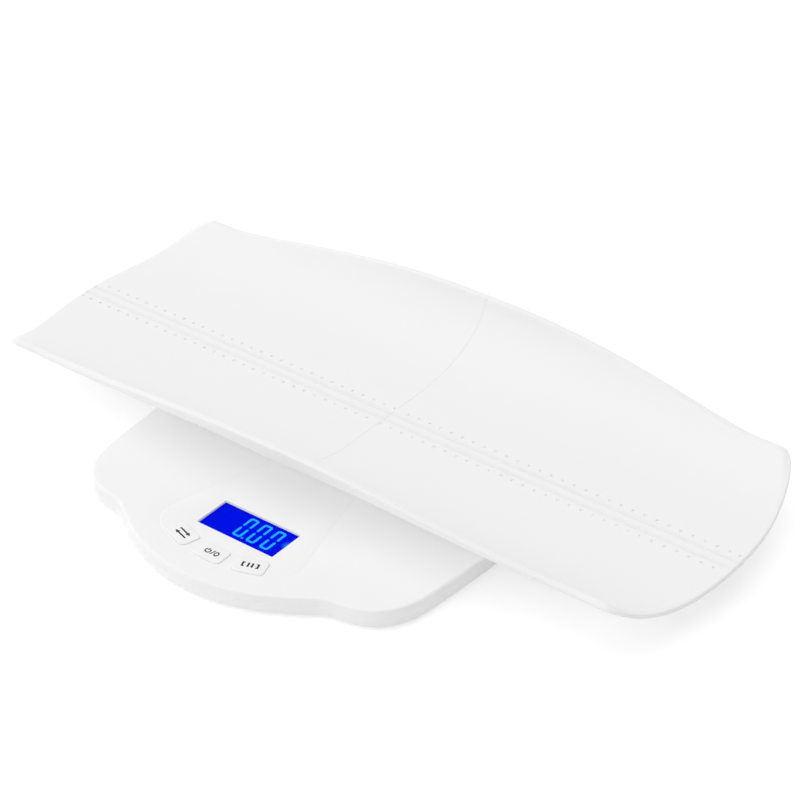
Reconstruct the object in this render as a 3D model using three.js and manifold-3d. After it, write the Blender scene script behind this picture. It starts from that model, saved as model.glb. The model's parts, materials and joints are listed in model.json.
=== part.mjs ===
// Digital baby weighing scale: a two-part trough tray on a slim base with a display and three keys.
// Millimetres. +X runs along the tray, -Y is the display side, +Z is up.
// Everything is drawn with the tray's middle at x = 0, y = 0 and the table at z = 0.
// The whole scale is then moved along Y, so that the origin lies under the middle of its outer box.

import * as THREE from 'three';
import { mergeVertices } from 'three/addons/utils/BufferGeometryUtils.js';
import Module from 'manifold-3d';

const wasm = await Module();
wasm.setup();

// Shared fits
const fitGap = 0.3;
const overrun = 1;

// Heights above the table
const padBottom = 0;
const bellyHeight = 2;
const sideLowEdge = 3.5;
const partingHeight = 9.4;
const coverEdgeHeight = 15.5;
const plateauHeight = 17;
const trayFloorHeight = 24;

// Tray: plan. Each side draws in towards the corner along a soft S, then runs straight.
const trayHalfLength = 303.5;
const trayHalfWidth = 130.9;
const trayNarrowing = 13.6;
const trayNarrowingLength = 245;
const narrowingStartPower = 2.8;
const narrowingEndPower = 1.35;
const trayEndRadius = 287;
const trayCornerStart = 268;
const trayCornerEnd = 94;
const seamGap = 0.6;

// Tray: trough section
const trayWall = 2.8;
const troughFlatHalfWidth = 44.2;
const troughSideWidth = 82.5;
const troughSideHeight = 50;
const steepestShare = 0.999;

// Tray: rim
const rimWidth = 5.3;
const rimRound = 1;
const skirtWall = 2.2;
const skirtMiddleDepth = 10.8;
const skirtEndDepth = 3.6;
const skirtFadeLength = 250;
const skirtFadePower = 1.6;

// Tray: underside
const seamRibWidth = 2;
const seamRibHalfLength = 66;
const trayRibWidth = 1.8;
const trayRibDepth = 2.4;
const trayRibOffset = 38;
const trayRibReach = 286;
const pegInnerX = 45;
const pegEndInset = 31.2;
const pegY = 62;
const pegShoulderRadius = 7;
const socketRadius = 5.2;
const socketWall = 1.8;
const socketBottom = 9;
const pegTaper = 0.4;
const pegTipGap = 0.8;

// Tray: ruler grooves
const grooveOffset = 5;
const grooveWidth = 1.2;
const grooveDepth = 0.5;

// Base: plan
const baseHalfWidth = 156.2;
const frontCornerShare = 0.66;
const rearCornerShare = 0.77;
const baseSideRadius = 1390;
const baseFrontFlat = 189.5;
const baseFrontCornerStart = baseHalfWidth * frontCornerShare;
const baseFrontCornerEnd = 146;
const baseRear = 120;
const baseRearRadius = 3000;
const baseRearCornerStart = baseHalfWidth * rearCornerShare;
const baseRearCornerEnd = 84;
const bowRadius = 128;
const bowCentreY = -101;
const bowBlend = 12;

// Base: walls and edges
const coverWall = 1.8;
const coverTopWall = 2;
const coverEdgeRound = 2.2;
const marginWidth = 15.6;
const lipWall = 1.2;
const lipHeight = 1.8;
const bellyWall = 2;
const bellyInset = 7;
const shellEdgeRound = 1.2;
const shellRibWidth = 1.6;
const shellRibHeight = 4;
const shellRibReach = 95;
const shellRibFrontY = -92;
const shellRibRearY = 70;

// Display panel on the cover
const panelRise = 0.4;
const panelArcRadius = 112.5;
const panelArcHalfWidth = 52;
const panelFrontHalfWidth = 62;
const panelFrontY = -176;
const panelCornerX = 66;
const panelCornerY = -192.5;
const panelRearHalfWidth = 35;
const panelRearY = -70;

// Display
const displayCentreY = -163;
const windowWidth = 69;
const windowDepth = 31.5;
const windowLedge = 2;
const windowRecess = 1.4;
const paneThickness = 1;
const glassThickness = 2;
const glassOverhang = 3.5;
const backlightThickness = 1.9;

// Circuit board
const boardHalfWidth = 48;
const boardDisplayMargin = 21;
const boardKeyMargin = 10.5;
const boardRearY = displayCentreY + boardDisplayMargin;
const boardThickness = 1.6;
const boardPostRadius = 2.5;
const boardPostInset = 4;
const boardHoleRadius = 1.3;
const chipSize = 9;
const chipHeight = 1.2;

// Keys and their switches
const keyArcRadius = 100.5;
const boardFrontY = bowCentreY - keyArcRadius - boardKeyMargin;
const keyAngle = THREE.MathUtils.degToRad(18);
const keyWidth = 21;
const keyDepth = 13.6;
const keyCornerRadius = 5;
const keyProud = 0.9;
const keyTopRound = 0.6;
const keyFlange = 1.4;
const keyFlangeThickness = 1.3;
const keyTravel = 0.5;
const switchSize = 6;
const switchBodyHeight = 1.9;
const plungerRadius = 1.7;

// Weighing corners
const footInset = 38.2;
const footX = baseHalfWidth - footInset;
const footFrontY = -148;
const footRearY = 84;
const footRadius = 15.6;
const footClearance = 1;
const footBossRadius = 4.6;
const footDiscThickness = 3.4;
const footPadRadius = 13;
const footPadThickness = 1.2;
const cellSeatWall = 3.6;
const cellSeatHeight = 2.7;
const cellSize = 36;
const cellThickness = 2;
const cellSlotWidth = 2.4;
const cellSlotInset = 7;

// Battery compartment
const compartmentY = 20;
const batteryCount = 4;
const batteryRadius = 5.25;
const batteryBodyLength = 43.3;
const batteryNubRadius = 1.9;
const batteryNubLength = 1.2;
const batteryEdgeRound = 0.5;
const contactPlate = 0.6;
const contactBump = 2.2;
const contactBumpRadius = 3;
const contactTipRadius = 1.4;
const contactMargin = 1;
const compartmentWall = 1.5;
const doorThickness = 1.6;
const doorFit = 0.4;
const doorHookWidth = 8;
const doorHookX = 14;
const doorHookReach = 2.6;
const doorHookThickness = 1;
const doorHookSlotHeight = 4;
const doorHookRiser = 1;
const doorNotchWidth = 16;
const doorNotchDepth = 2.4;

// Base screws
const screwInset = 18.2;
const screwEndInset = 72.2;
const screwFrontY = -178;
const screwMiddleY = -30;
const screwRearY = 102;
const screwPlaces = [
  [baseHalfWidth - screwEndInset, screwFrontY],
  [baseHalfWidth - screwInset, screwMiddleY],
  [baseHalfWidth - screwEndInset, screwRearY],
];
const screwHeadRadius = 2.7;
const screwHeadHeight = 1.5;
const screwShankRadius = 1.3;
const screwTop = 12.5;
const screwBossWall = 2;
const shellBossHeight = 2;

// Facets
const sideSteps = 10;
const cornerSteps = 4;
const endSteps = 6;
const frontSteps = 20;
const baseCornerSteps = 5;
const baseSideSteps = 5;
const baseRearSteps = 4;
const roundSteps = 16;
const smallRoundSteps = 10;
const marginSteps = 3;
const arcSteps = 12;
const troughShares = [0, 0.18, 0.36, 0.5, 0.62, 0.73, 0.82, 0.9, 0.96, 1];

// Colours
const trayWhite = 0xf2f2f2;
const baseWhite = 0xf5f5f4;
const clearPane = 0xdfe8ff;
const displayBlue = 0x0a18e0;
const lampWhite = 0xf4f6ff;
const boardGreen = 0x1f6b3a;
const switchBlack = 0x222224;
const steelGrey = 0x9a9da1;
const rubberGrey = 0x5a5a5c;
const batteryGrey = 0x3d4248;
const hiddenWhite = 0xe6e6e4;

function plastic(color, roughness) {
  return new THREE.MeshStandardMaterial({ color, roughness, metalness: 0 });
}

function metal(color, roughness) {
  return new THREE.MeshStandardMaterial({ color, roughness, metalness: 1 });
}

// Solids: a closed geometry becomes a manifold for joins and cuts, and comes back as a geometry.
function toSolid(geometry) {
  const bare = geometry.index ? geometry.toNonIndexed() : geometry.clone();
  bare.deleteAttribute('normal');
  bare.deleteAttribute('uv');
  const merged = mergeVertices(bare, 1e-4);
  const vertProperties = new Float32Array(merged.attributes.position.array);
  const triVerts = new Uint32Array(merged.index.array);
  return new wasm.Manifold(new wasm.Mesh({ numProp: 3, vertProperties, triVerts }));
}

function toGeometry(solid) {
  const mesh = solid.getMesh();
  const geometry = new THREE.BufferGeometry();
  geometry.setAttribute('position', new THREE.BufferAttribute(new Float32Array(mesh.vertProperties), 3));
  geometry.setIndex(new THREE.BufferAttribute(new Uint32Array(mesh.triVerts), 1));
  geometry.computeVertexNormals();
  return geometry;
}

function joined(solids) {
  return solids.reduce((whole, next) => whole.add(next));
}

function cut(solid, cutters) {
  return cutters.reduce((whole, next) => whole.subtract(next), solid);
}

// Loft: closed loops with equal point counts, joined loop by loop, with flat caps at both ends.
// A last loop that has closed on itself needs no cap.
function loft(loops, capFirst, capLast) {
  const positions = [];
  const push = (a, b, c) => {
    const flat = new THREE.Vector3().subVectors(b, a).cross(new THREE.Vector3().subVectors(c, a));
    if (flat.lengthSq() > 0) {
      positions.push(...a.toArray(), ...b.toArray(), ...c.toArray());
    }
  };
  for (let k = 0; k + 1 < loops.length; k += 1) {
    const low = loops[k];
    const high = loops[k + 1];
    for (let i = 0; i < low.length; i += 1) {
      const j = (i + 1) % low.length;
      push(low[i], low[j], high[j]);
      push(low[i], high[j], high[i]);
    }
  }
  if (capFirst) {
    for (const [a, b, c] of capFirst) {
      push(loops[0][c], loops[0][b], loops[0][a]);
    }
  }
  if (capLast) {
    const last = loops[loops.length - 1];
    for (const [a, b, c] of capLast) {
      push(last[a], last[b], last[c]);
    }
  }
  const geometry = new THREE.BufferGeometry();
  geometry.setAttribute('position', new THREE.BufferAttribute(new Float32Array(positions), 3));
  return geometry;
}

function capOf(points) {
  return THREE.ShapeUtils.triangulateShape(points, []);
}

// Stack: one plan outline, drawn in by an inset at each height, from the bottom up.
function stack(outline, levels) {
  const loops = levels.map(([inset, height]) =>
    insetLoop(outline, inset).map((p) => new THREE.Vector3(p.x, p.y, height)));
  const bottom = capOf(insetLoop(outline, levels[0][0]));
  const top = capOf(insetLoop(outline, levels[levels.length - 1][0]));
  return toSolid(loft(loops, bottom, top));
}

// Inset: each point moves inward along the mean of its two sides' normals. Loops run anticlockwise.
function insetLoop(outline, inset) {
  return outline.map((p, i) => {
    const before = outline[(i + outline.length - 1) % outline.length];
    const after = outline[(i + 1) % outline.length];
    const inA = new THREE.Vector2(before.y - p.y, p.x - before.x).normalize();
    const inB = new THREE.Vector2(p.y - after.y, after.x - p.x).normalize();
    const inward = inA.add(inB).normalize();
    return new THREE.Vector2(p.x + inward.x * inset, p.y + inward.y * inset);
  });
}

function block(xLow, xHigh, yLow, yHigh, zLow, zHigh) {
  const box = new THREE.BoxGeometry(xHigh - xLow, yHigh - yLow, zHigh - zLow);
  box.translate((xLow + xHigh) / 2, (yLow + yHigh) / 2, (zLow + zHigh) / 2);
  return toSolid(box);
}

function post(x, y, lowRadius, highRadius, zLow, zHigh, steps) {
  const shape = new THREE.CylinderGeometry(highRadius, lowRadius, zHigh - zLow, steps);
  shape.rotateX(Math.PI / 2);
  shape.translate(x, y, (zLow + zHigh) / 2);
  return toSolid(shape);
}

function prism(shape, zLow, zHigh) {
  const body = new THREE.ExtrudeGeometry(shape, {
    depth: zHigh - zLow,
    bevelEnabled: false,
    curveSegments: arcSteps,
  });
  body.translate(0, 0, zLow);
  return toSolid(body);
}

function turned(profile, steps) {
  return toSolid(new THREE.LatheGeometry(profile, steps));
}

function roundedOutline(width, depth, radius) {
  const points = [];
  const corners = [
    [width / 2 - radius, depth / 2 - radius, 0],
    [radius - width / 2, depth / 2 - radius, 1],
    [radius - width / 2, radius - depth / 2, 2],
    [width / 2 - radius, radius - depth / 2, 3],
  ];
  for (const [x, y, quarter] of corners) {
    for (let i = 0; i <= cornerSteps; i += 1) {
      const angle = (quarter + i / cornerSteps) * Math.PI / 2;
      points.push(new THREE.Vector2(x + radius * Math.cos(angle), y + radius * Math.sin(angle)));
    }
  }
  return points;
}

const scale = new THREE.Group();

function place(name, solid, material) {
  const mesh = new THREE.Mesh(solid.isBufferGeometry ? solid : toGeometry(solid), material);
  mesh.name = name;
  scale.add(mesh);
  return mesh;
}

// Trough section: flat in the middle, then a quarter of an ellipse up to the rim on each side.
function troughShare(y) {
  const out = Math.max(Math.abs(y) - troughFlatHalfWidth, 0);
  return Math.min(out / troughSideWidth, steepestShare);
}

function troughRise(y) {
  const share = troughShare(y);
  return troughSideHeight * (1 - Math.sqrt(1 - share * share));
}

function troughAngle(y) {
  const share = troughShare(y);
  return Math.atan2(troughSideHeight * share, troughSideWidth * Math.sqrt(1 - share * share));
}

// Tray plan, one quarter: along the bowed side from the seam, round the corner, and to the end's middle.
function trayQuarter() {
  const narrowing = (x) => {
    const share = Math.min(x / trayNarrowingLength, 1);
    return trayNarrowing * (1 - (1 - share ** narrowingStartPower) ** narrowingEndPower);
  };
  const sideY = (x) => trayHalfWidth - narrowing(x);
  const endX = (y) => trayHalfLength - (y * y) / (2 * trayEndRadius);
  const start = new THREE.Vector2(trayCornerStart, sideY(trayCornerStart));
  const finish = new THREE.Vector2(endX(trayCornerEnd), trayCornerEnd);
  const sideStep = (trayCornerStart - seamGap / 2) / sideSteps;
  const sideSlope = (sideY(trayCornerStart) - sideY(trayCornerStart - sideStep)) / sideStep;
  const endSlope = -trayCornerEnd / trayEndRadius;
  const meetY = (start.y + sideSlope * (finish.x - endSlope * finish.y - start.x)) / (1 - sideSlope * endSlope);
  const meet = new THREE.Vector2(finish.x + endSlope * (meetY - finish.y), meetY);
  const points = [];
  for (let i = 0; i < sideSteps; i += 1) {
    const x = seamGap / 2 + sideStep * i;
    points.push(new THREE.Vector2(x, sideY(x)));
  }
  points.push(...new THREE.QuadraticBezierCurve(start, meet, finish).getPoints(cornerSteps));
  for (let i = 1; i <= endSteps; i += 1) {
    const y = trayCornerEnd * (1 - i / endSteps);
    points.push(new THREE.Vector2(endX(y), y));
  }
  return points;
}

// One section of the tray at an outline point, from the middle of the top, round the front rim and
// skirt, and back along the underside. The rear of the section is its mirror image.
function traySection(point, outward) {
  const inset = (distance) => new THREE.Vector2(point.x - outward.x * distance, point.y - outward.y * distance);
  const lip = inset(rimWidth);
  const rim = trayFloorHeight + troughRise(lip.y);
  const fade = 1 - Math.min(point.x / skirtFadeLength, 1);
  const depth = skirtEndDepth + (skirtMiddleDepth - skirtEndDepth) * fade ** skirtFadePower;
  const side = [];
  for (const share of troughShares) {
    const y = share * lip.y;
    side.push(new THREE.Vector3(lip.x, -y, trayFloorHeight + troughRise(y)));
  }
  const at = (distance, z) => {
    const p = inset(distance);
    side.push(new THREE.Vector3(p.x, -p.y, z));
  };
  at(rimRound, rim);
  at(0, rim - rimRound);
  at(0, rim - depth);
  at(skirtWall, rim - depth);
  at(skirtWall, rim - trayWall);
  for (const share of [...troughShares].reverse()) {
    const y = share * lip.y;
    const angle = troughAngle(y);
    const z = trayFloorHeight + troughRise(y) - trayWall * Math.cos(angle);
    const shift = share > 0 ? trayWall * Math.sin(angle) : 0;
    side.push(new THREE.Vector3(lip.x, -y - shift, Math.min(z, rim - trayWall)));
  }
  const mirrored = side.slice(1, -1).reverse().map((p) => new THREE.Vector3(p.x, -p.y, p.z));
  return [...side, ...mirrored];
}

// The seam face: each point of the top is paired with the one across the wall from it.
function sectionCap(count) {
  const half = count / 2;
  const faces = [];
  for (const start of [0, half]) {
    for (let i = 0; i < half / 2; i += 1) {
      const across = start + half - i;
      faces.push([start + i, start + i + 1, across % count]);
      if (across - 1 > start + i + 1) {
        faces.push([start + i + 1, across - 1, across % count]);
      }
    }
  }
  return faces;
}

function trayShell() {
  const quarter = trayQuarter();
  const sections = quarter.map((point, i) => {
    const before = quarter[Math.max(i - 1, 0)];
    const after = quarter[Math.min(i + 1, quarter.length - 1)];
    const outward = new THREE.Vector2(before.y - after.y, after.x - before.x).normalize();
    if (i === 0) {
      outward.set(0, 1);
    }
    if (i === quarter.length - 1) {
      outward.set(1, 0);
    }
    return traySection(point, outward);
  });
  return toSolid(loft(sections, sectionCap(sections[0].length), null));
}

const pegOuterX = baseHalfWidth - pegEndInset;
const pegPlaces = [
  [pegInnerX, -pegY],
  [pegInnerX, pegY],
  [pegOuterX, -pegY],
  [pegOuterX, pegY],
];

// One tray half: the shell, its seam rib, two long ribs, and four pegs that stand in the base's sockets.
function trayHalf() {
  const shoulder = plateauHeight + fitGap;
  const floorMiddle = trayFloorHeight - trayWall / 2;
  const pieces = [trayShell()];
  pieces.push(block(seamGap / 2, seamGap / 2 + seamRibWidth,
    -seamRibHalfLength, seamRibHalfLength, shoulder, floorMiddle));
  for (const side of [-1, 1]) {
    const y = side * trayRibOffset;
    pieces.push(block(seamGap / 2 + seamRibWidth / 2, trayRibReach,
      y - trayRibWidth / 2, y + trayRibWidth / 2, trayFloorHeight - trayWall - trayRibDepth, floorMiddle));
  }
  const pinTip = socketBottom + pegTipGap;
  for (const [x, y] of pegPlaces) {
    const top = floorMiddle + troughRise(y);
    const pinRadius = socketRadius - fitGap;
    pieces.push(post(x, y, pegShoulderRadius, pegShoulderRadius, shoulder, top, roundSteps));
    pieces.push(post(x, y, pinRadius - pegTaper, pinRadius, pinTip, shoulder + overrun, roundSteps));
  }
  const grooves = [-1, 1].map((side) => block(
    0, trayHalfLength - rimWidth,
    side * grooveOffset - grooveWidth / 2, side * grooveOffset + grooveWidth / 2,
    trayFloorHeight - grooveDepth, trayFloorHeight + overrun));
  return cut(joined(pieces), grooves);
}

const tray = toGeometry(trayHalf());
place('tray_right', tray, plastic(trayWhite, 0.3));
place('tray_left', tray.clone(), plastic(trayWhite, 0.3)).rotation.z = Math.PI;

// Base plan, anticlockwise from the front left: bow front, right side, rear, left side.
function baseOutline() {
  const bow = (x) => Math.sqrt(Math.max(bowRadius * bowRadius - x * x, 0)) - bowCentreY;
  const frontY = (x) => {
    const spread = bow(x) - baseFrontFlat;
    return -(baseFrontFlat + (spread + Math.hypot(spread, bowBlend)) / 2);
  };
  const sideX = (y) => baseHalfWidth - (y * y) / (2 * baseSideRadius);
  const rearY = (x) => baseRear - (x * x) / (2 * baseRearRadius);
  const front = [];
  for (let i = 0; i <= frontSteps; i += 1) {
    const x = baseFrontCornerStart * ((2 * i) / frontSteps - 1);
    front.push(new THREE.Vector2(x, frontY(x)));
  }
  const right = [];
  const frontCorner = new THREE.QuadraticBezierCurve(
    new THREE.Vector2(baseFrontCornerStart, frontY(baseFrontCornerStart)),
    new THREE.Vector2(sideX(baseFrontFlat), -baseFrontFlat),
    new THREE.Vector2(sideX(baseFrontCornerEnd), -baseFrontCornerEnd));
  right.push(...frontCorner.getPoints(baseCornerSteps).slice(1));
  for (let i = 1; i < baseSideSteps; i += 1) {
    const y = -baseFrontCornerEnd + ((baseFrontCornerEnd + baseRearCornerEnd) * i) / baseSideSteps;
    right.push(new THREE.Vector2(sideX(y), y));
  }
  const rearCorner = new THREE.QuadraticBezierCurve(
    new THREE.Vector2(sideX(baseRearCornerEnd), baseRearCornerEnd),
    new THREE.Vector2(sideX(baseRear), rearY(baseRearCornerStart)),
    new THREE.Vector2(baseRearCornerStart, rearY(baseRearCornerStart)));
  right.push(...rearCorner.getPoints(baseCornerSteps));
  const rear = [];
  for (let i = 1; i < baseRearSteps; i += 1) {
    const x = baseRearCornerStart * (1 - (2 * i) / baseRearSteps);
    rear.push(new THREE.Vector2(x, rearY(x)));
  }
  const left = right.map((p) => new THREE.Vector2(-p.x, p.y)).reverse();
  return [...front, ...right, ...rear, ...left];
}

const outline = baseOutline();

// Cover margin: from the rounded edge up to the flat top, as a soft crown.
function marginLevels() {
  const levels = [];
  for (let i = 1; i <= marginSteps; i += 1) {
    const share = i / marginSteps;
    const inset = coverEdgeRound + (marginWidth - coverEdgeRound) * share;
    levels.push([inset, plateauHeight - (plateauHeight - coverEdgeHeight) * (1 - share) ** 2]);
  }
  return levels;
}

const coverUnderside = plateauHeight - coverTopWall;
const panelTop = plateauHeight + panelRise;
const windowSeat = panelTop - windowRecess;
const screwBossRadius = screwShankRadius + fitGap + screwBossWall;
const shellBossTop = bellyHeight + bellyWall + shellBossHeight;
const screwSpots = screwPlaces.flatMap(([x, y]) => [[x, y], [-x, y]]);
const socketSpots = pegPlaces.flatMap(([x, y]) => [[x, y], [-x, y]]);

function keySpot(index) {
  const angle = index * keyAngle;
  return {
    x: keyArcRadius * Math.sin(angle),
    y: bowCentreY - keyArcRadius * Math.cos(angle),
    angle,
  };
}

// The display panel: an arc along the bow, with sides that draw together towards the tray.
function panelShape() {
  const arcDrop = Math.sqrt(panelArcRadius ** 2 - panelArcHalfWidth ** 2);
  const arcEnd = Math.atan2(-arcDrop, panelArcHalfWidth);
  const shape = new THREE.Shape();
  shape.moveTo(-panelRearHalfWidth, panelRearY);
  shape.lineTo(-panelFrontHalfWidth, panelFrontY);
  shape.quadraticCurveTo(-panelCornerX, panelCornerY, -panelArcHalfWidth, bowCentreY - arcDrop);
  shape.absarc(0, bowCentreY, panelArcRadius, -Math.PI - arcEnd, arcEnd, false);
  shape.quadraticCurveTo(panelCornerX, panelCornerY, panelFrontHalfWidth, panelFrontY);
  shape.lineTo(panelRearHalfWidth, panelRearY);
  return shape;
}

function keyOpening(index) {
  const spot = keySpot(index);
  const clear = roundedOutline(keyWidth + 2 * fitGap, keyDepth + 2 * fitGap, keyCornerRadius + fitGap);
  const hole = stack(clear, [[0, coverUnderside - overrun], [0, panelTop + overrun]]);
  return hole.rotate([0, 0, THREE.MathUtils.radToDeg(spot.angle)]).translate([spot.x, spot.y, 0]);
}

function baseCover() {
  const partingTop = partingHeight + fitGap;
  const skin = stack(outline, [
    [0, partingTop],
    [0, coverEdgeHeight - coverEdgeRound],
    [coverEdgeRound * (1 - Math.SQRT1_2), coverEdgeHeight - coverEdgeRound * (1 - Math.SQRT1_2)],
    [coverEdgeRound, coverEdgeHeight],
    ...marginLevels(),
  ]);
  const hollow = stack(outline, [
    [coverWall, partingTop - overrun],
    [coverWall, coverEdgeHeight - coverEdgeRound - coverWall],
    [coverWall + coverEdgeRound, coverEdgeHeight - coverTopWall],
    [marginWidth, coverUnderside],
  ]);
  const panel = prism(panelShape(), plateauHeight - coverTopWall / 2, panelTop);
  const bosses = [];
  const cutters = [];
  for (const [x, y] of screwSpots) {
    const boreRadius = screwShankRadius + fitGap;
    bosses.push(post(x, y, screwBossRadius, screwBossRadius,
      shellBossTop + fitGap, coverUnderside + coverTopWall / 2, smallRoundSteps));
    cutters.push(post(x, y, boreRadius, boreRadius, shellBossTop, screwTop + fitGap, smallRoundSteps));
  }
  for (const [x, y] of socketSpots) {
    const tube = socketRadius + socketWall;
    bosses.push(post(x, y, tube, tube, socketBottom, coverUnderside + coverTopWall / 2, roundSteps));
    cutters.push(post(x, y, socketRadius, socketRadius,
      socketBottom - overrun, plateauHeight + overrun, roundSteps));
  }
  const halfWide = windowWidth / 2;
  const halfDeep = windowDepth / 2;
  cutters.push(block(-halfWide, halfWide, displayCentreY - halfDeep, displayCentreY + halfDeep,
    coverUnderside - overrun, panelTop + overrun));
  cutters.push(block(-halfWide - windowLedge, halfWide + windowLedge,
    displayCentreY - halfDeep - windowLedge, displayCentreY + halfDeep + windowLedge,
    coverUnderside - overrun, windowSeat));
  cutters.push(...[-1, 0, 1].map(keyOpening));
  return cut(joined([cut(skin.add(panel), [hollow]), ...bosses]), cutters);
}

place('base_cover', baseCover(), plastic(baseWhite, 0.28));

// Battery compartment sizes, shared by the shell, the door, the cells and the contacts.
const batteryPitch = 2 * batteryRadius + fitGap;
const batteryLength = batteryBodyLength + batteryNubLength;
const doorTop = bellyHeight + doorThickness;
const batteryAxisHeight = doorTop + fitGap + batteryRadius;
const compartmentHalfX = batteryLength / 2 + fitGap + contactBump + contactPlate + fitGap;
const compartmentHalfY = (batteryPitch * (batteryCount - 1)) / 2 + batteryRadius + doorFit;
const compartmentTop = coverUnderside - fitGap;
const shellFloor = bellyHeight + bellyWall;
const doorHalfX = compartmentHalfX - doorFit;
const doorHalfY = compartmentHalfY - doorFit;
const boardBottom = windowSeat - fitGap - paneThickness - fitGap - glassThickness - fitGap
  - backlightThickness - fitGap - boardThickness;
const cellSeatTop = shellFloor + cellSeatHeight;
const footSpots = [
  ['front_left', -footX, footFrontY],
  ['front_right', footX, footFrontY],
  ['rear_left', -footX, footRearY],
  ['rear_right', footX, footRearY],
];
const boardPosts = [
  [boardHalfWidth - boardPostInset, boardRearY - boardPostInset],
  [boardHalfWidth - boardPostInset, boardFrontY + boardPostInset],
  [boardPostInset - boardHalfWidth, boardRearY - boardPostInset],
  [boardPostInset - boardHalfWidth, boardFrontY + boardPostInset],
];

function baseShell() {
  const lipOuter = coverWall + fitGap;
  const lipInner = lipOuter + lipWall;
  const lipTop = partingHeight + lipHeight;
  const skin = stack(outline, [
    [bellyInset, bellyHeight],
    [shellEdgeRound, sideLowEdge],
    [0, sideLowEdge + shellEdgeRound],
    [0, partingHeight],
  ]);
  const lip = stack(outline, [[lipOuter, partingHeight - overrun], [lipOuter, lipTop]]);
  const hollow = stack(outline, [
    [bellyInset + bellyWall, shellFloor],
    [lipInner, sideLowEdge + bellyWall],
    [lipInner, lipTop + overrun],
  ]);
  const footHole = footRadius + footClearance;
  const added = [];
  const cutters = [];
  for (const [, x, y] of footSpots) {
    const seat = footHole + cellSeatWall;
    added.push(post(x, y, seat, seat, shellFloor - overrun, cellSeatTop, roundSteps));
    cutters.push(post(x, y, footHole, footHole, bellyHeight - overrun, cellSeatTop + overrun, roundSteps));
  }
  for (const [x, y] of boardPosts) {
    added.push(post(x, y, boardPostRadius, boardPostRadius,
      shellFloor - overrun, boardBottom - fitGap, smallRoundSteps));
  }
  const headClear = screwHeadRadius + fitGap;
  const shankClear = screwShankRadius + fitGap;
  const headSeat = bellyHeight + fitGap + screwHeadHeight + fitGap;
  for (const [x, y] of screwSpots) {
    const boss = headClear + screwBossWall;
    added.push(post(x, y, boss, boss, shellFloor - overrun, shellBossTop, smallRoundSteps));
    cutters.push(post(x, y, headClear, headClear, bellyHeight - overrun, headSeat, smallRoundSteps));
    cutters.push(post(x, y, shankClear, shankClear, headSeat - overrun, shellBossTop + overrun, smallRoundSteps));
  }
  for (const y of [shellRibFrontY, shellRibRearY]) {
    added.push(block(-shellRibReach, shellRibReach, y - shellRibWidth / 2, y + shellRibWidth / 2,
      shellFloor - overrun, shellFloor + shellRibHeight));
  }
  const wallX = compartmentHalfX + compartmentWall;
  const wallY = compartmentHalfY + compartmentWall;
  added.push(block(-wallX, wallX, compartmentY - wallY, compartmentY + wallY,
    shellFloor - overrun, compartmentTop));
  cutters.push(block(-compartmentHalfX, compartmentHalfX,
    compartmentY - compartmentHalfY, compartmentY + compartmentHalfY,
    bellyHeight - overrun, compartmentTop + overrun));
  for (const side of [-1, 1]) {
    const x = side * doorHookX;
    const half = doorHookWidth / 2 + fitGap;
    cutters.push(block(x - half, x + half, compartmentY + compartmentHalfY - overrun,
      compartmentY + wallY + overrun, shellFloor, shellFloor + doorHookSlotHeight));
  }
  return cut(joined([cut(skin.add(lip), [hollow]), ...added]), cutters);
}

place('base_shell', baseShell(), plastic(baseWhite, 0.35));

// Display: a clear pane under the opening's ledge, the blue glass, the light guide, and the board.
function slab(halfX, halfY, centreY, low, thickness) {
  return block(-halfX, halfX, centreY - halfY, centreY + halfY, low, low + thickness);
}

const paneBottom = windowSeat - fitGap - paneThickness;
const glassBottom = paneBottom - fitGap - glassThickness;
const backlightBottom = glassBottom - fitGap - backlightThickness;
const paneHalfX = windowWidth / 2 + windowLedge - fitGap;
const paneHalfY = windowDepth / 2 + windowLedge - fitGap;
const glassHalfX = windowWidth / 2 + glassOverhang;
const glassHalfY = windowDepth / 2 + glassOverhang;
place('display_window', slab(paneHalfX, paneHalfY, displayCentreY, paneBottom, paneThickness),
  plastic(clearPane, 0.05));
place('display_panel', slab(glassHalfX, glassHalfY, displayCentreY, glassBottom, glassThickness),
  plastic(displayBlue, 0.15));
place('backlight', slab(glassHalfX, glassHalfY, displayCentreY, backlightBottom, backlightThickness),
  plastic(lampWhite, 0.4));

function circuitBoard() {
  const middleY = (boardRearY + boardFrontY) / 2;
  const plate = slab(boardHalfWidth, (boardRearY - boardFrontY) / 2, middleY, boardBottom, boardThickness);
  const chip = block(-chipSize / 2, chipSize / 2, middleY - chipSize / 2, middleY + chipSize / 2,
    boardBottom - chipHeight, boardBottom + boardThickness / 2);
  const holes = boardPosts.map(([x, y]) => post(x, y, boardHoleRadius, boardHoleRadius,
    boardBottom - overrun, boardBottom + boardThickness + overrun, smallRoundSteps));
  return cut(plate.add(chip), holes);
}

place('circuit_board', circuitBoard(), plastic(boardGreen, 0.5));

// Keys: a soft-edged cap through the cover, with a flange below it, over a push switch on the board.
const keyNames = ['left', 'middle', 'right'];
const boardTop = boardBottom + boardThickness;
const flangeTop = coverUnderside - fitGap;
const flangeBottom = flangeTop - keyFlangeThickness;

function keyCap() {
  const cap = roundedOutline(keyWidth, keyDepth, keyCornerRadius);
  const top = panelTop + keyProud;
  const flange = roundedOutline(keyWidth + 2 * keyFlange, keyDepth + 2 * keyFlange, keyCornerRadius);
  return stack(cap, [
    [0, flangeBottom],
    [0, top - keyTopRound],
    [keyTopRound * (1 - Math.SQRT1_2), top - keyTopRound * (1 - Math.SQRT1_2)],
    [keyTopRound, top],
  ]).add(stack(flange, [[0, flangeBottom], [0, flangeTop]]));
}

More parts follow.
